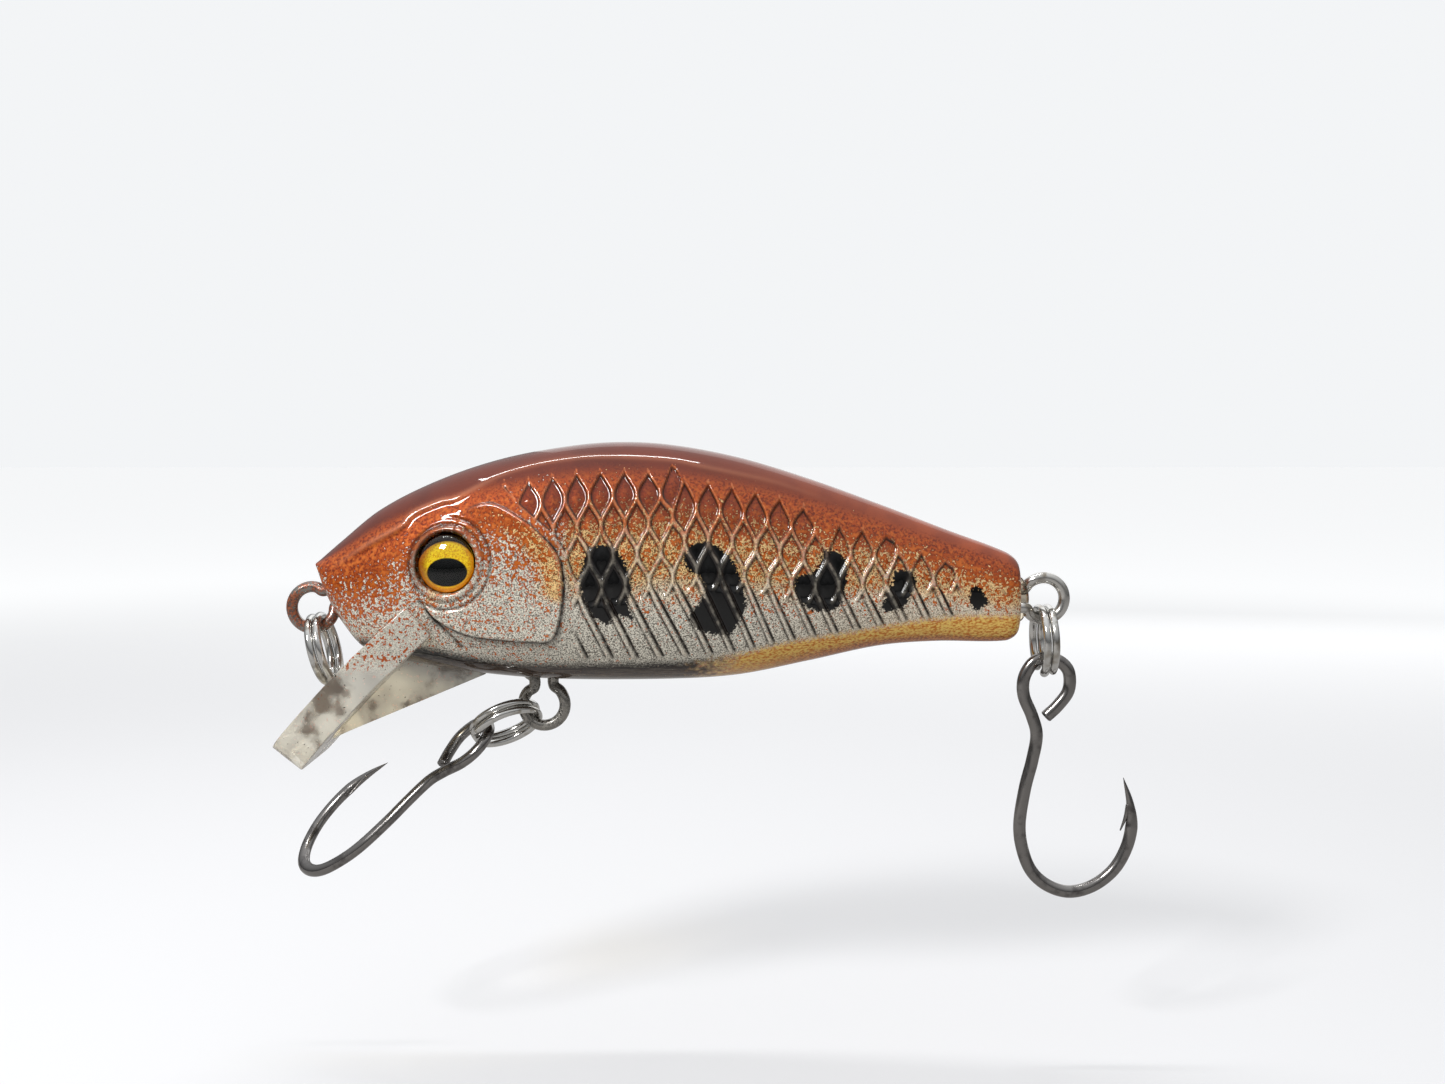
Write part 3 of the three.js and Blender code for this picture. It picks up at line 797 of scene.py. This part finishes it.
class Paint(Look):
    """The body's paint under its clear coat: specks of colour, each coat over those before."""

    def __init__(self):
        super().__init__("airbrushed_paint")
        self.share = self.mask("share")
        self.art_x = self.mask("art_x")
        self.grain = self.noise(0.085, 3.0)
        self.speck = self.noise(0.17, shift=7)
        self.fleck = self.noise(0.3, shift=17)
        self.blotch = self.noise(0.5, 3.0, shift=13)
        self.cloud = self.noise(2.2, shift=21)
        self.spray_silver()
        self.spray_rust()
        self.spray_back()
        self.spray_belly()
        self.paint_spots()
        self.paint_shade_highlight_and_wear()
        self.set(Base_Color=self.colour, Metallic=0.15, Specular_IOR_Level=0.02)
        self.set(Coat_Weight=1.0, Coat_Roughness=0.03, Coat_IOR=1.5)
        self.set(Roughness=self.rise(self.grain, 0.35, 0.65, 0.34, 0.5))
        self.bump(self.plus(self.grain, self.speck), 0.02, 0.5)

    def cover(self, pigment, share):
        self.colour = self.mix(self.colour, pigment, share)

    def spray_silver(self):
        """Silver all over, golden higher on the flank and paler toward the tail."""
        silver = self.tones(self.grain, 0.36, 0.58, (98, 92, 82), (244, 238, 222))
        warm = self.tones(self.grain, 0.37, 0.57, (104, 60, 24), (252, 212, 146))
        warmth = self.plus(self.mask("warm"), self.sway(self.cloud, 0.5))
        self.colour = self.mix(silver, warm, self.rise(warmth, 0.1, 0.9))
        self.cover(rgb(250, 214, 168), self.rise(self.art_x, 28, 46, 0.0, 0.24))

    def spray_rust(self):
        """Drops of rust that run together up the flank, then a few specks of soot."""
        dark = self.tones(self.speck, 0.36, 0.6, (112, 42, 14), (168, 74, 26))
        rust = self.mix(dark, rgb(216, 116, 48), self.rise(self.fleck, 0.46, 0.66, 0.0, 0.7))
        rust = self.mix(rust, dark, self.rise(self.share, 0.7, 0.92, 0.0, 0.85))
        drops = self.plus(self.times(self.speck, 0.6), self.times(self.fleck, 0.4))
        level = self.plus(self.times(self.mask("rust"), 0.33), drops)
        level = self.plus(level, self.sway(self.cloud, 0.1))
        self.cover(rust, self.rise(level, 0.64, 0.685))
        soot = self.rise(self.noise(0.12, shift=31), 0.6, 0.65)
        sooty = self.times(soot, self.rise(self.share, 0.85, 0.6, 0.0, 0.8))
        in_field = self.rise(self.mask("field"), 0, 1, 0.3, 1.0)
        self.cover(rgb(48, 36, 28), self.times(sooty, in_field))

    def spray_back(self):
        """Darker rust inside the upper scales, brown over the smooth back, and a painted highlight
        along the ridge's crest.
        """
        deep = self.times(self.mask("bowl"), self.rise(self.share, 0.55, 0.8, 0.0, 0.8))
        self.cover(rgb(98, 34, 14), self.times(deep, self.rise(self.art_x, 22, 38, 1.0, 0.5)))
        brown = self.tones(self.art_x, 22, 48, (92, 36, 19), (158, 74, 40))
        brown = self.mix(brown, rgb(112, 46, 26), self.rise(self.cloud, 0.35, 0.65, 0.0, 0.5))
        on_back = self.rise(self.plus(self.share, self.times(self.speck, 0.1)), 0.9, 0.97)
        self.cover(brown, self.times(on_back, self.rise(self.mask("field"), 0.6, 0.0)))
        # painted highlight: a lighter tint along the ridge's crest
        self.cover(rgb(196, 128, 96), self.times(self.mask("crest"), 0.5))

    def spray_belly(self):
        """Streaky dark grey under the front, partly paint and partly painted shade of the underside,
        gold under the tail, and an orange keel line.
        """
        streak = self.noise(0.1, 4.0, stretch=(14, 1, 1), shift=5)
        # dark grey streaks, partly paint and partly painted shade of the underside
        charcoal_and_underside_shade = self.tones(streak, 0.42, 0.68, (10, 10, 11), (86, 84, 78))
        flow = self.noise(0.12, 3.0, stretch=(2, 1, 1), shift=41)
        gold = self.tones(flow, 0.36, 0.6, (208, 116, 32), (255, 214, 114))
        low_edge = self.plus(self.mask("foot"), self.times(self.speck, 0.8))
        on_belly = self.rise(low_edge, 0.75, 0.1)
        to_gold = self.rise(self.plus(self.art_x, self.times(self.blotch, 6)), 29.0, 34.0)
        self.cover(charcoal_and_underside_shade, self.times(on_belly, self.rise(to_gold, 0, 1, 1.0, 0.0)))
        self.cover(gold, self.times(on_belly, to_gold))
        orange = self.tones(self.speck, 0.4, 0.6, (150, 78, 28), (206, 128, 58))
        on_keel = self.rise(self.plus(self.share, self.times(self.speck, 0.06)), 0.125, 0.07)
        self.cover(orange, self.times(on_keel, self.rise(self.art_x, 27, 38, 0.08, 1.0)))

    def paint_spots(self):
        """Black spots with a frayed edge."""
        spot = self.plus(self.mask("spot"), self.sway(self.speck, 0.9))
        self.on_spot = self.rise(spot, -0.06, 0.08)
        ink = self.tones(self.speck, 0.42, 0.66, (3, 3, 4), (18, 18, 19))
        self.cover(ink, self.on_spot)

    def paint_shade_highlight_and_wear(self):
        """Painted shade along the grooves, in the socket and below the gill cover's step, and painted
        highlights along raised edges, which also stand for edges rubbed through in places.
        """
        # painted shade: dark colour along the grooves, in the socket and under the gill cover's step
        shade = self.times(self.mask("shade"), self.rise(self.blotch, 0.3, 0.6, 0.55, 1.0))
        self.cover(rgb(28, 18, 12), self.times(shade, 0.92))
        # painted highlight along raised edges, which also stands for edges rubbed through
        highlight_and_wear = self.times(self.mask("line"), self.rise(self.blotch, 0.36, 0.6, 0.15, 0.95))
        highlight_and_wear = self.times(highlight_and_wear, self.rise(self.on_spot, 0, 1, 0.66, 0.3))
        edge_highlight_and_wear_tint = self.tones(self.share, 0.5, 0.75, (240, 228, 208), (206, 128, 84))
        self.cover(edge_highlight_and_wear_tint, highlight_and_wear)


def steel_look(name, light, dark, roughness):
    """Bright wire with small stains and a polish that varies."""
    look = Look(name)
    stain = look.noise(0.9, 4.0, shift=9)
    look.set(Base_Color=look.tones(stain, 0.5, 0.7, light, dark), Metallic=1.0)
    look.set(Roughness=look.rise(stain, 0.35, 0.65, roughness * 0.75, roughness * 1.7))
    look.bump(stain, 0.01, 0.3)
    return look.material


def oversprayed_look(name, pigment, bright, cover):
    """Steel wire with the body's paint drifted over it, more of it as cover grows."""
    look = Look(name)
    speck = look.noise(0.14, 3.0, shift=3)
    cloud = look.noise(0.9, shift=11)
    painted = look.rise(look.plus(speck, look.times(cloud, 0.8)), 1.02 - cover, 1.14 - cover)
    sprayed = look.tones(speck, 0.4, 0.62, pigment, bright)
    look.set(Base_Color=look.mix(rgb(150, 146, 140), sprayed, painted))
    look.set(Metallic=look.rise(painted, 0, 1, 1.0, 0.25))
    look.set(Roughness=look.rise(painted, 0, 1, 0.2, 0.4), Coat_Weight=0.6, Coat_Roughness=0.1)
    look.bump(speck, 0.02, 0.5)
    return look.material


def lip_look():
    """Clear moulded plastic, scuffed and cloudy, painted where it meets the body; its dark smudges
    are partly scuffs and partly painted dark reflections.
    """
    look = Look("clear_lip_plastic")
    smudge = look.noise(2.3, 4.0, shift=2)
    dirt = look.noise(0.2, shift=8)
    fleck = look.noise(0.22, shift=17)
    grain = look.noise(0.07, 3.0)
    # dark smudges, partly scuffs and partly painted dark reflections in the clear plastic
    smudge_and_dark_reflection = look.rise(smudge, 0.47, 0.62)
    colour = look.mix(rgb(248, 245, 234), rgb(92, 72, 58), look.times(smudge_and_dark_reflection, 0.85))
    height = look.node("SeparateXYZ", look.place()).outputs["Z"]
    level = look.plus(height, look.times(smudge, 1.2 * MM))
    high = look.rise(level, -4.2 * MM, -2.6 * MM)
    silver = look.tones(grain, 0.38, 0.6, (140, 134, 122), (222, 216, 200))
    colour = look.mix(colour, silver, look.times(high, 0.85))
    sprayed = look.rise(look.plus(fleck, look.times(high, 0.08)), 0.645, 0.67)
    sprayed_share = look.times(sprayed, look.rise(high, 0, 1, 0.4, 1.0))
    colour = look.mix(colour, rgb(170, 80, 34), sprayed_share)
    dirty = look.rise(dirt, 0.69, 0.72)
    colour = look.mix(colour, rgb(44, 32, 24), dirty)
    solid = look.plus(look.plus(look.times(high, 0.9), dirty), look.times(sprayed, 0.6))
    look.set(Base_Color=colour, IOR=1.49, Coat_Weight=0.5, Coat_Roughness=0.04)
    look.set(Transmission_Weight=look.rise(solid, 0.0, 1.0, 0.55, 0.0))
    look.set(Roughness=look.rise(smudge, 0.35, 0.65, 0.1, 0.32))
    look.bump(dirt, 0.01, 0.4)
    look.let_light_through(rgb(225, 218, 200))
    return look.material


def clear_look(name, tint):
    """Clear epoxy with faint ripples."""
    look = Look(name)
    look.set(Base_Color=tint, Transmission_Weight=1.0, IOR=1.5)
    look.set(Roughness=look.rise(look.noise(0.5), 0.3, 0.7, 0.015, 0.04))
    look.bump(look.noise(0.8, shift=4), 0.01, 0.4)
    look.let_light_through(tint)
    return look.material


def iris_look():
    """Golden foil with a fine grain, darker at its rim, round a black pupil, and a painted shade of
    the socket's edge as a dark crescent over its top.
    """
    look = Look("eye_foil_print")
    pupil = look.mask("pupil")
    ring = look.mask("ring")
    grain = look.noise(0.1)
    gold = look.tones(grain, 0.4, 0.65, (238, 214, 44), (206, 150, 22))
    colour = look.mix(gold, rgb(196, 112, 16), look.rise(ring, 0.62, 0.92))
    # painted shade: a dark crescent at the top where the socket's edge shades the foil, from the mask
    # named lid
    colour = look.mix(colour, rgb(26, 12, 8), look.rise(look.mask("lid"), -0.03, 0.05))
    colour = look.mix(colour, rgb(10, 13, 14), look.rise(pupil, 1.03, 0.97))
    look.set(Base_Color=colour, Metallic=look.rise(pupil, 0.97, 1.03, 0.0, 0.4))
    look.set(Specular_IOR_Level=0.0)
    look.set(Roughness=look.rise(grain, 0.3, 0.7, 0.28, 0.4))
    look.bump(grain, 0.01, 0.5)
    return look.material


# -------- eyes

def turned_disc(profile):
    """A closed solid of revolution about Z from (radius, height) points, axis point to axis point."""
    sides = DISC_SIDES
    turn = np.linspace(0, math.tau, sides, endpoint=False)
    rings = [np.stack([r * np.cos(turn), r * np.sin(turn), np.full(sides, h)], axis=1)
             for r, h in profile[1:-1]]
    vertices = np.vstack([*rings, [(0, 0, profile[0][1])], [(0, 0, profile[-1][1])]])
    faces = grid_faces(len(rings), sides, wrap=True)
    foot = len(vertices) - 2
    head = len(vertices) - 1
    last = (len(rings) - 1) * sides
    for j in range(sides):
        k = (j + 1) % sides
        faces.append((foot, k, j))
        faces.append((head, last + j, last + k))
    return vertices, faces


def eye_matrix(eye, sign):
    """Takes an eye's own axes, Z outward and X toward the tail, to its place on a flank."""
    centre, out = (np.array(v) * (1, sign, 1) for v in eye)
    along = np.array((1.0, 0.0, 0.0)) - out * out[0]
    along /= np.linalg.norm(along)
    other = np.cross(out, along)
    turn = Matrix(np.stack([along, other, out], axis=1).tolist()).to_4x4()
    return Matrix.Translation(centre.tolist()) @ turn


def make_eye(side, sign, eye, foil_material, lens_material):
    """The printed foil at the bottom of the socket and the clear dome over it."""
    placed = eye_matrix(eye, sign)
    radius = EYE_RADIUS + FOIL_OVERHANG
    foil_top = -EYE_DEPTH - FOIL_DROP
    foil_foot = foil_top - FOIL_THICKNESS
    steps = np.linspace(0, 1, CUP_STEPS)
    cup = [(radius * (1 - s), EYE_CUP * smooth(0.62, 1.0, 1 - s)) for s in steps]
    top = [(r, foil_top + h) for r, h in cup]
    foil, faces = turned_disc([(0, foil_foot), (radius, foil_foot), *top])
    foil_piece = new_object(f"{side}_eye_print", turned_by(foil, placed), faces, foil_material)
    up = foil[:, 1] * (1 if placed[2][1] > 0 else -1)
    across = foil[:, 0]
    pupil = np.hypot(across / PUPIL_HALF_WIDTH, (up - PUPIL_PLACE) / PUPIL_HALF_HEIGHT)
    add_attribute(foil_piece, "pupil", pupil)
    # painted shade: the dark crescent of the socket's edge, stored in the mask named lid
    add_attribute(foil_piece, "lid", np.hypot(across, up - CRESCENT_SHADE_CENTRE) - CRESCENT_SHADE_RADIUS)
    add_attribute(foil_piece, "ring", np.hypot(foil[:, 0], foil[:, 1]) / radius)

    dome = [(EYE_RADIUS * math.cos(a), -EYE_RIM + (EYE_DOME + EYE_RIM) * math.sin(a))
            for a in np.linspace(0, math.pi / 2, DOME_STEPS)]
    under = [(r, foil_top + h - LENS_SINK) for r, h in reversed(cup) if r < EYE_RADIUS]
    lens, faces = turned_disc([*under, *dome])
    lens_piece = new_object(f"{side}_eye_dome", turned_by(lens, placed), faces, lens_material)
    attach(foil_piece, "lure_body")
    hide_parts(f"{side}_eye_foil")
    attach(lens_piece, "lure_body")
    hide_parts(f"{side}_eye_lens")


# -------- wire parts

def hanger_points():
    """A figure-eight of wire in the XZ plane, its outer loop round the origin."""
    leave = math.acos(2 * LOOP_RADIUS / LOOP_PITCH)
    aside = HANGER_WIRE / 2 + 0.02
    points = []

    def arc(centre, facing, start, end, steps, side):
        for i in range(steps + 1):
            angle = start + (end - start) * i / steps
            from_crossing = min(angle, math.tau - angle) - leave
            fade = max(0.0, 1 - from_crossing / LOOP_SETTLE) ** 1.5
            points.append((centre + facing * LOOP_RADIUS * math.cos(angle),
                           side(angle) * aside * fade, LOOP_RADIUS * math.sin(angle) * facing))

    arc(LOOP_PITCH, -1, math.pi + LOOP_GAP, math.tau - leave, 6, lambda angle: -1)
    arc(0, 1, leave, math.tau - leave, 14, lambda angle: -1 if angle < math.pi else 1)
    arc(LOOP_PITCH, -1, leave, math.pi - LOOP_GAP, 6, lambda angle: 1)
    return curve_through(points, 8)


def ring_points():
    """Two turns of wire side by side along X, joined by a kink, in the YZ plane."""
    shift = (RING_WIRE + RING_COIL_GAP) / 2
    angles = np.linspace(RING_KINK, 2 * math.tau - RING_KINK, RING_POINTS)
    past = np.clip((angles - math.tau) / RING_KINK, -1, 1)
    return np.stack([shift * np.sin(past * math.pi / 2), RING_RADIUS * np.sin(angles),
                     -RING_RADIUS * np.cos(angles)], axis=1)


# Where each moving joint of the frame is, in millimetres.
joint_at = {joint["name"]: Vector(joint["pos_m"]) / MM
            for joint in frame["joints"] if "pos_m" in joint}


def ring_pose(name):
    swing, yaw = (math.radians(angle) for angle in RINGS[name])
    return (Matrix.Translation(joint_at[f"{name}_ring_swing"])
            @ Matrix.Rotation(swing, 4, "Y") @ Matrix.Rotation(yaw, 4, "Z"))


def hook_pose(name):
    forward, twist = (math.radians(angle) for angle in HOOKS[name])
    far = ring_pose(name) @ Vector((0, 0, -HOOK_DROP))
    return Matrix.Translation(far) @ Matrix.Rotation(forward, 4, "Y") @ Matrix.Rotation(twist, 4, "Z")


def hook_shape():
    """One bent wire that tapers to its point, with the barb sliced up inside the bend."""
    line = curve_through([(x, 0, z) for x, z in HOOK_LINE], 14)
    steps = np.linalg.norm(np.diff(line, axis=0), axis=1)
    along = np.concatenate([[0], np.cumsum(steps)])
    along /= along[-1]
    taper = np.minimum(1, (1 - along) / POINT_SHARE) ** POINT_ROUNDING
    taper = np.maximum(taper, POINT_TIP)
    bar, faces = swept(line, HOOK_WIRE / 2 * taper, sides=HOOK_SIDES)
    barb_line = curve_through([(x, 0, z) for x, z in BARB_LINE], 8)
    barb, barb_faces = swept(barb_line, np.linspace(*BARB_RADII, len(barb_line)), BARB_SIDES)
    faces += [tuple(i + len(bar) for i in face) for face in barb_faces]
    vertices = np.vstack([bar, barb])
    vertices[:, 1] *= HOOK_FLATNESS
    return vertices, faces


def softened_copy(name, source, edge):
    """A copy of a node's mesh with its sharp edges rounded over by edge millimetres."""
    mesh = source.data.copy()
    mesh.name = name
    mesh.transform(source.matrix_world)
    mesh.materials.clear()
    shape = bmesh.new()
    shape.from_mesh(mesh)
    bmesh.ops.remove_doubles(shape, verts=shape.verts, dist=0.002 * MM)
    bmesh.ops.dissolve_limit(shape, angle_limit=math.radians(2), verts=shape.verts,
                             edges=shape.edges)
    sharp = [e for e in shape.edges
             if len(e.link_faces) == 2 and e.calc_face_angle(0) > BEVEL_OVER]
    bmesh.ops.bevel(shape, geom=sharp, offset=edge * MM, segments=3, profile=0.5,
                    affect="EDGES", clamp_overlap=True)
    bmesh.ops.triangulate(shape, faces=[f for f in shape.faces if len(f.verts) > 4])
    shape.to_mesh(mesh)
    shape.free()
    mesh.shade_smooth()
    mesh.set_sharp_from_angle(angle=SMOOTH_UNDER)
    return in_scene(name, mesh)


def place_piece(name, shape, matrix, material, body, node):
    vertices, faces = shape
    piece = new_object(name, turned_by(vertices, matrix), faces, material)
    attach(piece, body)
    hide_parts(node)


# -------- build

eye = eye_place()
paint = Paint().material
for side in ("left", "right"):
    lowest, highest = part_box(f"{side}_body_shell")
    sign = 1 if highest.y > -lowest.y else -1
    half = body_half(f"{side}_body_skin", sign, eye, paint)
    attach(half, "lure_body")
    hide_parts(f"{side}_body_shell")

foil_look = iris_look()
dome_look = clear_look("eye_dome_epoxy", rgb(255, 250, 236))
for side in ("left", "right"):
    lowest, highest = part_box(f"{side}_eye_lens")
    make_eye(side, 1 if highest.y > 0 else -1, eye, foil_look, dome_look)

bare_steel = steel_look("stainless_wire", (206, 204, 200), (150, 142, 130), 0.16)
rusty_steel = oversprayed_look("rust_sprayed_wire", (74, 38, 26), (158, 92, 62), 0.24)
grey_steel = oversprayed_look("grey_sprayed_wire", (46, 46, 46), (150, 146, 138), 0.16)
LOOP_LOOKS = {"nose": rusty_steel, "belly": grey_steel, "tail": bare_steel}
for name, into in HANGERS.items():
    place = Vector((0, 0, 0)) if name == "nose" else joint_at[f"{name}_ring_swing"]
    pose = Matrix.Translation(place) @ Matrix.Rotation(-math.radians(into), 4, "Y")
    wire = swept(hanger_points(), HANGER_WIRE / 2)
    place_piece(f"{name}_loop_wire", wire, pose, LOOP_LOOKS[name], "lure_body", f"{name}_hanger")

film_profile = curve_through(FILM_PROFILE, 5)
film_profile[:, 0] = film_profile[:, 0].clip(0)
film, film_faces = turned_disc(film_profile.tolist())
film = film[:, [2, 0, 1]] * FILM_STRETCH + FILM_PLACE
film_look = clear_look("fillet_epoxy", rgb(240, 228, 206))
film_piece = new_object("tail_epoxy_fillet", film, film_faces, film_look)
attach(film_piece, "lure_body")

ring_steel = steel_look("ring_nickel", (214, 213, 210), (170, 164, 154), 0.12)
ring = swept(ring_points(), RING_WIRE / 2)
drop = Matrix.Translation((0, 0, -RING_REACH))
for name in RINGS:
    place_piece(f"{name}_ring_coil", ring, ring_pose(name) @ drop, ring_steel, f"{name}_ring",
                f"{name}_split_ring")

hook_steel = steel_look("black_nickel", (140, 137, 135), (104, 101, 100), 0.15)
for name in HOOKS:
    place_piece(f"{name}_hook_wire", hook_shape(), hook_pose(name), hook_steel, f"{name}_hook_body",
                f"{name}_hook")

lip_piece = softened_copy("lip_blade", frame["nodes"]["diving_lip"], LIP_EDGE)
lip_piece.data.materials.append(lip_look())
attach(lip_piece, "lure_body")
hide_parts("diving_lip")

ball_steel = steel_look("ball_steel", (190, 188, 184), (140, 136, 130), 0.1)
for node in frame["nodes"]:
    if "_ball_" in node:
        frame["nodes"][node].data.materials.clear()
        frame["nodes"][node].data.materials.append(ball_steel)

# -------- floor, light and camera

LOOK_AT = Vector((ART_CENTRE[0], 0, ART_CENTRE[1])) * MM
DISTANCE = ART_DISTANCE * MM
AZIMUTH = math.radians(-1)
ELEVATION = math.radians(3.5)
SENSOR_WIDTH = 36
LENS = 36.94
FLOOR_HALF = 4000
FLOOR_DROP = 12
FLOOR_FADE = 0.45
FLOOR_GLOW = 0.16
HORIZON_GLOW = 0.27


def floor_look():
    """White paper: the camera sees it pale, and the lure's reflections see it darker."""
    look = Look("pale_floor")
    spread = look.node("Mapping", look.place(), (0, 0, 0), (0, 0, 0), (1 / FLOOR_FADE,) * 3)
    near = look.node("TexGradient", spread.outputs[0], gradient_type="SPHERICAL").outputs[1]
    seen = look.node("LightPath").outputs["Is Camera Ray"]
    paper = look.mix((0.99, 0.99, 0.99, 1), (0.62, 0.62, 0.63, 1), look.rise(near, 0.05, 0.7))
    glow = look.rise(near, 0.0, 0.45, HORIZON_GLOW, FLOOR_GLOW)
    look.set(Base_Color=look.mix((0.36, 0.35, 0.34, 1), paper, seen))
    look.set(Emission_Color=(1, 1, 1, 1), Emission_Strength=look.times(seen, glow))
    look.set(Roughness=0.9, Specular_IOR_Level=0.1)
    return look.material


floor_z = cad_box[0].z / MM - FLOOR_DROP
corners = [(-1, -1), (1, -1), (1, 1), (-1, 1)]
floor = new_object("floor", [(x * FLOOR_HALF, y * FLOOR_HALF, floor_z) for x, y in corners],
                   [(0, 1, 2, 3)], floor_look())


def aim(made, direction):
    """Turns a lamp or the camera to look along a direction."""
    made.rotation_mode = "QUATERNION"
    made.rotation_quaternion = direction.to_track_quat("-Z", "Y")


def area_light(name, place, size, power, depth, aimed=True):
    """A soft lamp at a place in millimetres, facing the lure or straight down."""
    data = bpy.data.lights.new(name, "AREA")
    data.shape = "RECTANGLE"
    data.size = size * MM
    data.size_y = depth * MM
    data.energy = power
    lamp = in_scene(name, data)
    lamp.location = Vector(place) * MM
    if aimed:
        aim(lamp, LOOK_AT - lamp.location)


area_light("top_strip", (-8, 23, 200), 150, 0.12, 8, aimed=False)
area_light("key_soft", (-150, -205, 205), 60, 0.7, 60)
area_light("rear_soft", (90, 230, 130), 260, 0.15, 260)

bpy.context.scene.view_settings.view_transform = "Standard"


def studio_world(shown, low, high):
    """Light from a dome that is dim at the horizon and bright overhead, behind a plain backdrop."""
    world = bpy.data.worlds.new("studio")
    world.use_nodes = True
    sky = Nodes(world.node_tree)
    up = sky.node("SeparateXYZ", sky.node("TexCoord").outputs["Generated"]).outputs["Z"]
    pick = sky.node("Mix", sky.node("LightPath").outputs["Is Camera Ray"])
    sky.feed(pick.inputs[2], sky.node("MapRange", up, 0, 1, low, high).outputs["Result"])
    sky.feed(pick.inputs[3], shown)
    backdrop = sky.tree.nodes["Background"]
    sky.feed(backdrop.inputs["Strength"], pick.outputs[0])
    sky.feed(backdrop.inputs["Color"], (0.97, 0.985, 1.0, 1))
    return world


bpy.context.scene.world = studio_world(shown=0.925, low=0.1, high=0.98)


def make_camera():
    """A camera DISTANCE from LOOK_AT, a little to the nose side of square on and a little above."""
    data = bpy.data.cameras.new("camera")
    data.sensor_width = SENSOR_WIDTH
    data.lens = LENS
    data.clip_start = 0.005
    data.clip_end = 20
    made = in_scene("camera", data)
    level = math.cos(ELEVATION)
    back = Vector((math.sin(AZIMUTH) * level, -math.cos(AZIMUTH) * level, math.sin(ELEVATION)))
    made.location = LOOK_AT + back * DISTANCE
    aim(made, -back)
    return made


bpy.context.scene.camera = make_camera()
